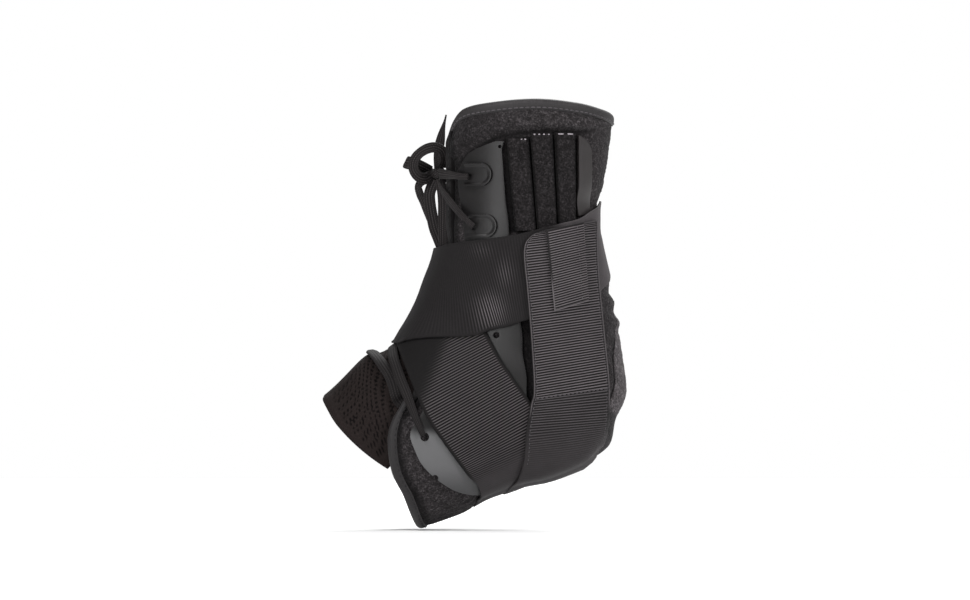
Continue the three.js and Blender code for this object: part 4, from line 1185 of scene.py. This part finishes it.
def onWrap(u, v):
    at, turn, low = wrapAt(u, v)
    phase = np.interp(u, *wrapTable) / wrapLength * round(wrapLength / wrap["pitch"])
    spots = raised(at, np.abs(turn), low + sizes["webThick"])
    strength = wrap["calm"] + 0 * u
    for x, z, wide, tall, lit in wrap["lit"]:
        away = ((spots[..., 0] - x) / wide) ** 2 + ((spots[..., 2] - z) / tall) ** 2
        strength = strength + lit * np.exp(-away)
    toEdge = np.minimum(v, 1 - v) * wrap["wide"]
    spot = webWall(at, turn, low, sizes["webThick"], phase, toEdge, strength, wrap["deep"])
    rear = wrap["rearLit"] * ramp(*wrap["rearLitTurn"], np.abs(turn))
    return {**spot, "litRelief": np.clip(spot["litRelief"] + rear, 0, 1)}


wrapVs = edged(wrap["cols"], wrap["wide"], wrap["edgeBand"])
piece = wall("wrap_strap_web", wrapUs, wrapVs, onWrap, [finishes["web"]], loop=True)
finishPiece(piece, "webbing", "wrap_strap")
round(wrapLength * mm, 3)
print("wrap strap made:", round(wrapLength), "mm round")

# Diagonal strap, from the instep down both sides and under the sole
diagonal = {
    "rows": [  # front x and z, rear x and z, seen from the side
        (-73.2, 0.6, -34.6, 19.5), (-62.2, -26.5, -21.4, -5.1), (-55.6, -39.8, -13.6, -16.6),
        (-43.9, -56.6, -2.0, -33.1), (-36.7, -66.3, 7.7, -46.9), (-30.6, -74.0, 15.5, -58.0),
    ],
    "sole": (67, 47), "straight": (4.2, 5.0), "wide": 46.0, "cols": 12, "edgeBand": 1.8,
    "onPanel": 1.3, "onPlate": 3.1, "plateTurn": (12, 34), "onSole": -0.4, "soleTurn": (148, 166),
    "frontSole": 1.6, "frontSoleAt": (55, 59), "frontTuck": 2.0, "frontTuckAt": (59, 66),
    # Ribs rise past a line through x and z; before it the smooth strap is painted dark, painted shade
    "ribbed": {"x": -50.5, "z": 4.1, "lean": 0.4, "rise": (-4.0, 8.0), "dark": 0.8},
    # The crests' painted highlight is turned down, and the faded ribs low down get painted light
    "shaded": 0.75, "fade": (3.6, 4.7), "faded": 0.96, "fadeLean": 0.5, "fadedLit": 0.24,
}


def diagonalBase(at, turn):
    aside = mix(diagonal["onPanel"], diagonal["onPlate"], ramp(*diagonal["plateTurn"], turn))
    front = diagonal["frontSole"] * ramp(*diagonal["frontSoleAt"], at)
    front = front - diagonal["frontTuck"] * ramp(*diagonal["frontTuckAt"], at)
    return mix(aside, diagonal["onSole"] + front, ramp(*diagonal["soleTurn"], turn))


def diagonalTop(at, turn):
    return diagonalBase(at, turn) + sizes["webThick"]


# A place on a strap that runs down the lateral side, under the sole and up the medial side. Each line
# across it looks straight from the side as far as the first of the rows in straight, then follows the
# boot round to the sole.
def underSole(edges, straight, topAt, u, v):
    row = (1 - np.abs(1 - 2 * u)) * (len(edges) - 1)
    at, turn = onStrap(edges, row, v)
    x = mix(read(edges, row, 5), read(edges, row, 7), v)
    z = mix(read(edges, row, 6), read(edges, row, 8), v)
    lineAt, lineTurn = seen(x, z, topAt)
    share = ramp(straight[0], straight[1], row)
    return mix(lineAt, at, share), mix(lineTurn, turn, share), row


# The turn on the whole strap, of which the second half is on the medial side
def wholeTurn(u, turn):
    return np.where(u <= 0.5, turn, 360 - turn)


def soleStrap(edges, straight, topAt):
    def plain(u, v):
        at, turn, _ = underSole(edges, straight, topAt, u, v)
        return {"at": at, "turn": wholeTurn(u, turn), "high": topAt(at, turn)}
    return plain


diagonalEdges = edgesOf(diagonal["rows"], diagonalTop, diagonal["sole"])
diagonalPlain = soleStrap(diagonalEdges, diagonal["straight"], diagonalTop)
diagonalUs, diagonalTable = alongStrap(diagonalPlain, ribs["pitch"], ribs["samples"])
diagonalLength = diagonalTable[1][-1]


def onDiagonal(u, v):
    at, turn, row = underSole(diagonalEdges, diagonal["straight"], diagonalTop, u, v)
    phase = np.interp(u, *diagonalTable) / ribs["pitch"]
    base = diagonalBase(at, turn)
    spots = raised(at, turn, base + sizes["webThick"])
    start = diagonal["ribbed"]
    ahead = spots[..., 0] - start["x"] + start["lean"] * (start["z"] - spots[..., 2])
    risen = ramp(*start["rise"], ahead)
    faded = ramp(*diagonal["fade"], row + diagonal["fadeLean"] * v)
    strength = risen * (1 - diagonal["faded"] * faded)
    toEdge = np.minimum(v, 1 - v) * diagonal["wide"]
    spot = webWall(at, turn, base, sizes["webThick"], phase, toEdge, strength)
    litRelief = spot["litRelief"] * diagonal["shaded"] + diagonal["fadedLit"] * faded
    return {**spot, "turn": wholeTurn(u, turn), "litRelief": np.clip(litRelief, 0, 1),
            "shade": start["dark"] * (1 - risen) * (1 - faded)}


diagonalVs = edged(diagonal["cols"], diagonal["wide"], diagonal["edgeBand"])
piece = wall("diagonal_strap_web", diagonalUs, diagonalVs, onDiagonal, [finishes["web"]])
finishPiece(piece, "webbing", "diagonal_strap")
round(diagonalLength * mm, 3)
print("diagonal strap made:", round(diagonalLength), "mm long")

# Stirrup strap over the wrap and the diagonal, with hems, a cross seam and a pull tab at each end
stirrup = {
    "rows": [  # front x and z, rear x and z, seen from the side
        (2.4, 58.4, 29.4, 63.4), (-5.0, 55.2, 29.6, 60.4), (-8.7, 47.9, 29.6, 52.4), (-7.1, 28.1, 30.4, 33.4),
        (-5.1, 4.6, 32.6, 10.2), (-3.6, -21.9, 35.2, -15.3), (-5.1, -30.6, 35.7, -26.1),
        (-7.1, -43.4, 35.2, -39.8), (-8.7, -61.2, 32.8, -50.6), (-15.4, -73.0, 29.6, -55.4),
    ],
    "sole": (60.6, 42.8), "straight": (7.2, 8.4), "wide": 38.0, "cols": 10, "edgeBand": 2.0, "pitch": 1.34,
    "lift": 2.6, "onSole": -0.2, "soleTurn": (148, 166), "offWrap": (2, 14),
    "gapTurn": (140, 160), "soleGap": 1.3, "frontGap": -0.7, "frontAt": (50, 60),
    "lead": 14, "soleLead": 4.5, "leadShort": 2,
    "seamRow": 5.55, "seamWide": 0.5, "seamRowLong": 9, "seamDark": 0.42,
    "belowSeam": {"row": (0, 0.1), "loss": 0.45}, "low": {"row": (0.7, 2.6), "loss": 0.52, "lit": 0.14},
    "hem": 1.5, "hemWide": 0.35, "hemDark": 0.6, "hemRow": (0.5, 1.5), "sunk": 0.22,
    "lip": 0.6, "lipWide": 0.4, "lipLit": 0.75,
}


# The strap bridges from the wrap to the boot and from there to the diagonal strap
def stirrupBase(at, turn):
    wrapLower = read(wrap["edges"], turn, 2)
    diagonalRear = read(diagonalEdges, turn, 3, 4)
    onWrapLift = wrapBase(turn) + sizes["webThick"] + sizes["strapGap"]
    aroundSole = ramp(*stirrup["gapTurn"], turn)
    soleGap = mix(stirrup["soleGap"], stirrup["frontGap"], ramp(*stirrup["frontAt"], at))
    onDiagonalLift = diagonalBase(at, turn) + sizes["webThick"] + mix(sizes["strapGap"], soleGap, aroundSole)
    onBoot = mix(stirrup["lift"], stirrup["onSole"], ramp(*stirrup["soleTurn"], turn))
    lead = mix(stirrup["lead"], stirrup["soleLead"], aroundSole)
    reached = ramp(0, 1, (at - diagonalRear + lead) / (lead - stirrup["leadShort"]))
    return mix(onWrapLift, mix(onBoot, onDiagonalLift, reached), ramp(*stirrup["offWrap"], at - wrapLower))


def stirrupTop(at, turn):
    return stirrupBase(at, turn) + sizes["webThick"]


stirrupEdges = edgesOf(stirrup["rows"], stirrupTop, stirrup["sole"])
stirrupPlain = soleStrap(stirrupEdges, stirrup["straight"], stirrupTop)
stirrupUs, stirrupTable = alongStrap(stirrupPlain, stirrup["pitch"], ribs["samples"])
stirrupLength = stirrupTable[1][-1]


def onStirrup(u, v):
    at, turn, row = underSole(stirrupEdges, stirrup["straight"], stirrupTop, u, v)
    past = row - stirrup["seamRow"]
    below, low = stirrup["belowSeam"], stirrup["low"]
    nearSole = ramp(*low["row"], past)
    strength = 1 - below["loss"] * ramp(*below["row"], past) - low["loss"] * nearSole
    along = np.interp(u, *stirrupTable)
    toEnd = np.minimum(along, stirrupLength - along)
    toEdge = np.minimum(np.minimum(v, 1 - v) * stirrup["wide"], toEnd)
    phase = along / stirrup["pitch"]
    spot = webWall(at, turn, stirrupBase(at, turn), sizes["webThick"], phase, toEdge, strength)
    # Painted shade in the hem groove and along the cross seam, a painted highlight on the lip of the hem, and
    # painted light low down near the sole
    hemmed = 1 - ramp(*stirrup["hemRow"], past)
    hem = nearLine(toEdge, stirrup["hem"], stirrup["hemWide"]) * hemmed
    lip = stirrup["lipLit"] * nearLine(toEdge, stirrup["lip"], stirrup["lipWide"]) * hemmed
    seam = nearLine(past * stirrup["seamRowLong"], 0, stirrup["seamWide"])
    sunk = stirrup["sunk"] * np.maximum(hem, seam)
    return {**spot, "turn": wholeTurn(u, turn), "high": spot["high"] - sunk,
            "shade": np.maximum(stirrup["hemDark"] * hem, stirrup["seamDark"] * seam),
            "litRelief": np.clip(np.maximum(spot["litRelief"], lip) + low["lit"] * nearSole, 0, 1)}


stirrupVs = edged(stirrup["cols"], stirrup["wide"], stirrup["edgeBand"])
piece = wall("stirrup_strap_web", stirrupUs, stirrupVs, onStirrup, [finishes["web"]])
finishPiece(piece, "webbing", "stirrup_strap")
round(stirrupLength * mm, 3)

pullTab = {
    "rows": [  # front x and z, rear x and z, at the top and at the bottom
        (3.1, 58.1, 21.9, 62.2), (7.1, 17.3, 24.5, 22.4),
    ],
    "gap": 0.7, "thick": 1.1, "wide": 18.5, "tall": 40.0, "cols": 16, "edgeBand": 1.6, "pitch": 1.23,
    "hem": 0.5,
    "seam": 3.2, "seamWide": 0.4, "seamDeep": 0.2, "seamDark": 0.4,
    "lit": 1.12, "rimWide": 0.7, "rimLit": 0.95, "rimShare": (0.3, 0.8),
}


def pullTabTop(at, turn):
    return stirrupTop(at, turn) + pullTab["gap"] + pullTab["thick"]


def onPullTab(u, v):
    rows = np.array(pullTab["rows"])
    frontX, frontZ, rearX, rearZ = (mix(rows[0, k], rows[1, k], u) for k in range(4))
    at, turn = seen(mix(frontX, rearX, v), mix(frontZ, rearZ, v), pullTabTop)
    base = stirrupTop(at, turn) + pullTab["gap"]
    toRim = np.minimum(v * pullTab["wide"], (1 - u) * pullTab["tall"])
    toEdge = np.minimum(toRim, u * pullTab["tall"]) + pullTab["hem"]
    spot = webWall(at, turn, base, pullTab["thick"], u * pullTab["tall"] / pullTab["pitch"], toEdge, 1.0)
    # Painted shade along the seam, and a painted highlight on the rim
    seam = nearLine((1 - v) * pullTab["wide"], pullTab["seam"], pullTab["seamWide"])
    rim = pullTab["rimLit"] * nearLine(toRim, 0, pullTab["rimWide"]) * ramp(*pullTab["rimShare"], u)
    return {**spot, "high": spot["high"] - pullTab["seamDeep"] * seam, "shade": pullTab["seamDark"] * seam,
            "litRelief": np.clip(np.maximum(pullTab["lit"] * spot["litRelief"], rim), 0, 1)}


tabUs = np.linspace(0, 1, int(pullTab["tall"] / pullTab["pitch"] * ribs["samples"]))
tabVs = edged(pullTab["cols"], pullTab["wide"], pullTab["edgeBand"])
for side, sign in sides:
    piece = wall(side + "_pull_tab_web", tabUs, tabVs, onPullTab, [finishes["web"]], sign=sign)
    finishPiece(piece, "webbing", side + "_pull_tab")

strapStitches = {
    "edges": {"front": 0.045, "rear": 0.955}, "run": (0.04, 0.4), "seamRun": (0.04, 0.96),
    "tabRun": (0.02, 0.97), "sunk": 0.05, "above": 0.1,
    "edgeThread": {"length": 1.6, "pitch": 2.3, "radius": 0.22},
    "seamThread": {"length": 1.7, "pitch": 2.3, "radius": 0.24},
    "tabThread": {"length": 1.9, "pitch": 2.6, "radius": 0.24},
}


def stitchStirrup(name, sign, us, vs, thread):
    at, turn, _ = underSole(stirrupEdges, stirrup["straight"], stirrupTop, us + 0 * share, vs + 0 * share)
    lift = stirrupTop(at, turn) - strapStitches["sunk"]
    stitchOn(name, at, sign * turn, lift, "webbing", **strapStitches[thread])


seamU = stirrup["seamRow"] / (len(stirrupEdges) - 1) / 2
for side, sign in sides:
    for edge, v in strapStitches["edges"].items():
        run = mix(*strapStitches["run"], share)
        stitchStirrup("%s_stirrup_%s_stitches" % (side, edge), sign, run, v, "edgeThread")
    run = mix(*strapStitches["seamRun"], share)
    stitchStirrup(side + "_stirrup_seam_stitches", sign, seamU, run, "seamThread")
    seamV = 1 - pullTab["seam"] / pullTab["wide"]
    spot = onPullTab(mix(*strapStitches["tabRun"], share), np.full(len(share), seamV))
    stitchOn(side + "_tab_stitches", spot["at"], sign * spot["turn"], spot["high"] + strapStitches["above"],
             "webbing", **strapStitches["tabThread"])
print("stirrup strap made:", round(stirrupLength), "mm long")


# Hard pieces: a grid is laid on the boot, given its thickness, drilled and bevelled
moulding = {"bevelSegments": 3, "bevelAngle": 38, "sharp": 45, "drillSides": 32, "drillDepth": 0.03}


def shell(name, place, cuts, thick, finish, sign, bevel, holes=()):
    bpy.ops.object.select_all(action="DESELECT")
    bpy.ops.mesh.primitive_grid_add(x_subdivisions=cuts[0], y_subdivisions=cuts[1], size=2)
    piece = bpy.context.object
    piece.name = name
    flat = np.empty(len(piece.data.vertices) * 3)
    piece.data.vertices.foreach_get("co", flat)
    u, v = flat[0::3] * 0.5 + 0.5, flat[1::3] * 0.5 + 0.5
    spot = place(u, v)
    outer = raised(spot["at"], sign * spot["turn"], spot["high"] + 0 * u)
    piece.data.vertices.foreach_set("co", (outer * mm).ravel())
    piece.data.update()
    middle = len(piece.data.polygons) // 2
    centre = np.array(piece.data.polygons[middle].center) / mm
    at, turn = seenOnSkin(centre[0], centre[2])
    outward = normalAt(at, sign * turn)
    bpy.ops.object.mode_set(mode="EDIT")
    bpy.ops.mesh.select_all(action="SELECT")
    bpy.ops.mesh.normals_make_consistent(inside=False)
    bpy.ops.object.mode_set(mode="OBJECT")
    if np.dot(np.array(piece.data.polygons[middle].normal), outward) < 0:
        bpy.ops.object.mode_set(mode="EDIT")
        bpy.ops.mesh.flip_normals()
        bpy.ops.object.mode_set(mode="OBJECT")
    applyModifier(piece, "SOLIDIFY", thickness=thick * mm, offset=-1.0)
    for x, z, wide in holes:
        drillHole(piece, x, z, wide, sign)
    applyModifier(piece, "BEVEL", width=bevel * mm, segments=moulding["bevelSegments"], limit_method="ANGLE",
                  angle_limit=math.radians(moulding["bevelAngle"]))
    piece.data.materials.append(finishes[finish])
    selectOnly(piece)
    bpy.ops.object.shade_smooth_by_angle(angle=math.radians(moulding["sharp"]))
    return piece


def applyModifier(piece, kind, **settings):
    selectOnly(piece)
    modifier = piece.modifiers.new(kind.lower(), kind)
    for key, value in settings.items():
        setattr(modifier, key, value)
    bpy.ops.object.modifier_apply(modifier=modifier.name)


def drillHole(piece, x, z, wide, sign):
    at, turn = seenOnSkin(np.array(x), np.array(z))
    y = skin(at, sign * turn)[1]
    bpy.ops.object.select_all(action="DESELECT")
    bpy.ops.mesh.primitive_cylinder_add(
        vertices=moulding["drillSides"], radius=wide / 2 * mm, depth=moulding["drillDepth"],
        location=(x * mm, y * mm, z * mm), rotation=(math.pi / 2, 0, 0))
    drill = bpy.context.object
    applyModifier(piece, "BOOLEAN", operation="DIFFERENCE", solver="EXACT", object=drill)
    selectOnly(drill)
    bpy.ops.object.delete()


# Moulded side plates with their lace, vent and relief holes
plate = {
    "rows": [  # front x and z, rear x and z, seen from the side
        (-23.0, 103.2, -18.6, 103.2), (-32.6, 99.5, -19.6, 99.5), (-37.7, 95.9, -19.4, 95.9),
        (-40.8, 89.8, -18.9, 89.8), (-41.8, 82.1, -18.4, 82.1), (-39.3, 62.7, -16.3, 62.7),
        (-37.7, 38.2, -13.8, 38.2), (-39.8, 17.9, -10.7, 13.8), (-46.9, -2.5, -9.2, -2.5),
        (-55.1, -20.4, -7.1, -20.4), (-60.5, -35.2, -6.6, -33.1), (-65.8, -44.4, -7.1, -46.0),
        (-63.2, -54.1, -10.4, -52.4), (-58.6, -62.2, -16.0, -58.0), (-46.9, -72.0, -18.0, -63.0),
        (-39.0, -75.4, -20.0, -68.0), (-31.0, -76.4, -23.0, -72.0),
    ],
    "holes": [  # x, z, width
        (-58.6, -46.4, 4.4), (-22.4, 5.1, 3.2), (-20.6, 100.6, 1.8), (-53.4, -67.4, 3.4),
    ],
    "cuts": (130, 22), "bevel": 0.45,
}
plateTop = sizes["plateLift"] + sizes["plateThick"]
plateEdges = edgesOf(plate["rows"], lambda at, turn: plateTop)


def onPlate(u, v):
    at, turn = onStrap(plateEdges, u * (len(plate["rows"]) - 1), v)
    return {"at": at, "turn": turn, "high": plateTop}


eyelet = {
    "tabs": {  # front x, rear x, middle z, tall, hole x, hole z
        "upper": (-38.8, -25.0, 86.5, 11.7, -36.6, 85.3), "lower": (-38.0, -22.4, 60.4, 11.7, -33.7, 60.0),
    },
    "round": 0.94, "hole": 3.4, "thick": 1.5, "lip": 0.5, "lipBand": (0.9, 1.7), "cuts": (28, 30),
    "bevel": 0.6,
}


def onEyelet(tab):
    frontX, rearX, middleZ, tall, _, _ = eyelet["tabs"][tab]
    lift = plateTop + 2 * sizes["gap"] + eyelet["thick"]

    def place(u, v):
        rise = np.sin((u - 0.5) * eyelet["round"] * math.pi)
        radius = tall / 2
        rear = rearX - radius + radius * np.sqrt(1 - rise ** 2)
        x, z = mix(frontX, rear, v), middleZ - rise * radius
        at, turn = seen(x, z, lambda at, turn: lift + 0 * at)
        off = radius - np.hypot(np.maximum(x - (rearX - radius), 0), z - middleZ)
        return {"at": at, "turn": turn, "high": lift - eyelet["lip"] * ramp(*eyelet["lipBand"], off)}
    return place


# Rear stays, narrow and with a rounded top
stay = {
    "rows": [  # front x and z, rear x and z, seen from the side
        (19.4, 106.4, 20.4, 106.0), (19.5, 105.2, 22.4, 104.6), (19.6, 103.6, 24.2, 102.8),
        (19.6, 100.8, 25.6, 100.2), (19.6, 96.4, 26.2, 96.2), (19.6, 81.0, 26.2, 82.0),
        (19.6, 65.6, 25.8, 67.0),
    ],
    "thick": 1.6, "cuts": (90, 10), "bevel": 0.4,
}
stayTop = sizes["plateLift"] + stay["thick"]
stayEdges = edgesOf(stay["rows"], lambda at, turn: stayTop)


def onStay(u, v):
    at, turn = onStrap(stayEdges, u * (len(stay["rows"]) - 1), v)
    return {"at": at, "turn": turn, "high": stayTop}


for side, sign in sides:
    piece = shell(side + "_plate_moulding", onPlate, plate["cuts"], sizes["plateThick"], "plate", sign,
                  plate["bevel"], plate["holes"])
    finishPiece(piece, "plate", side + "_plate")
    for tab, (_, _, _, _, holeX, holeZ) in eyelet["tabs"].items():
        node = "%s_eyelet_%s" % (side, tab)
        piece = shell(node + "_moulding", onEyelet(tab), eyelet["cuts"], eyelet["thick"], "plate", sign,
                      eyelet["bevel"], [(holeX, holeZ, eyelet["hole"])])
        finishPiece(piece, "plate", node)
    piece = shell(side + "_stay_moulding", onStay, stay["cuts"], stay["thick"], "stay", sign, stay["bevel"])
    finishPiece(piece, "stay", side + "_stay")
print("plates, eyelets and stays made")

# Stay channels: padded strips of loop fabric, with pale dashes at the top of each as painted highlights on
# the channel tops
channel = {
    "strips": {  # z, x and width at the top, then at the bottom
        "front": (105.6, -17.6, 11.4, 58.0, -12.8, 10.8), "middle": (107.9, -5.2, 11.4, 58.6, -1.3, 10.2),
        "rear": (107.9, 7.4, 10.6, 62.0, 9.5, 9.2),
    },
    "ends": {  # share across the strip from and to, mm below its top, dash length and spacing
        "front": (0.62, 0.95, 1.4, 1.5, 1.7), "middle": (0.08, 0.92, 1.2, 1.6, 2.3),
        "rear": (0.06, 0.94, 1.0, 4.6, 4.1),
    },
    "thick": 2.2, "rows": 90, "cols": 22, "edgeBand": 1.8, "round": 1.3, "pile": 0.8,
    "edgeDark": 0.8, "edgeShade": (0.2, 1.3), "dashRadius": 0.42, "dashSunk": 0.1,
}
channelTop = sizes["plateLift"] + channel["thick"]


def onChannelTop(at, turn):
    return channelTop + 0 * at


def onChannel(strip):
    topZ, topX, topWide, bottomZ, bottomX, bottomWide = channel["strips"][strip]

    def place(u, v):
        wide = mix(topWide, bottomWide, u)
        at, turn = seen(mix(topX, bottomX, u) + wide * v, mix(topZ, bottomZ, u), onChannelTop)
        lump, litRelief = curls(at, turn, channelTop)
        toEdge = np.minimum(np.minimum(v, 1 - v) * wide, u * (topZ - bottomZ))
        return {"at": at, "turn": turn, "low": sizes["plateLift"], "litRelief": litRelief,
                "high": channelTop + channel["pile"] * lump - edgeFall(toEdge, channel["round"]),
                "shade": channel["edgeDark"] * (1 - ramp(*channel["edgeShade"], toEdge))}
    return place


for side, sign in sides:
    for strip, row in channel["strips"].items():
        node = "%s_channel_%s" % (side, strip)
        piece = wall(node + "_fleece", np.linspace(0, 1, channel["rows"]),
                     edged(channel["cols"], row[2], channel["edgeBand"]), onChannel(strip),
                     [finishes["darkFleece"]], sign=sign)
        finishPiece(piece, "loop_fabric", node)
    # Pale dashes along each channel's top, painted highlights
    for strip, (first, last, below, length, pitch) in channel["ends"].items():
        topZ, topX, wide, _, _, _ = channel["strips"][strip]
        at, turn = seen(topX + wide * mix(first, last, share), topZ - below + 0 * share, onChannelTop)
        lift = channelTop - channel["dashSunk"]
        stitchOn("%s_channel_%s_end" % (side, strip), at, sign * turn, lift, "stay", "highlightThread",
                 length=length, pitch=pitch, radius=channel["dashRadius"])
print("channels made")
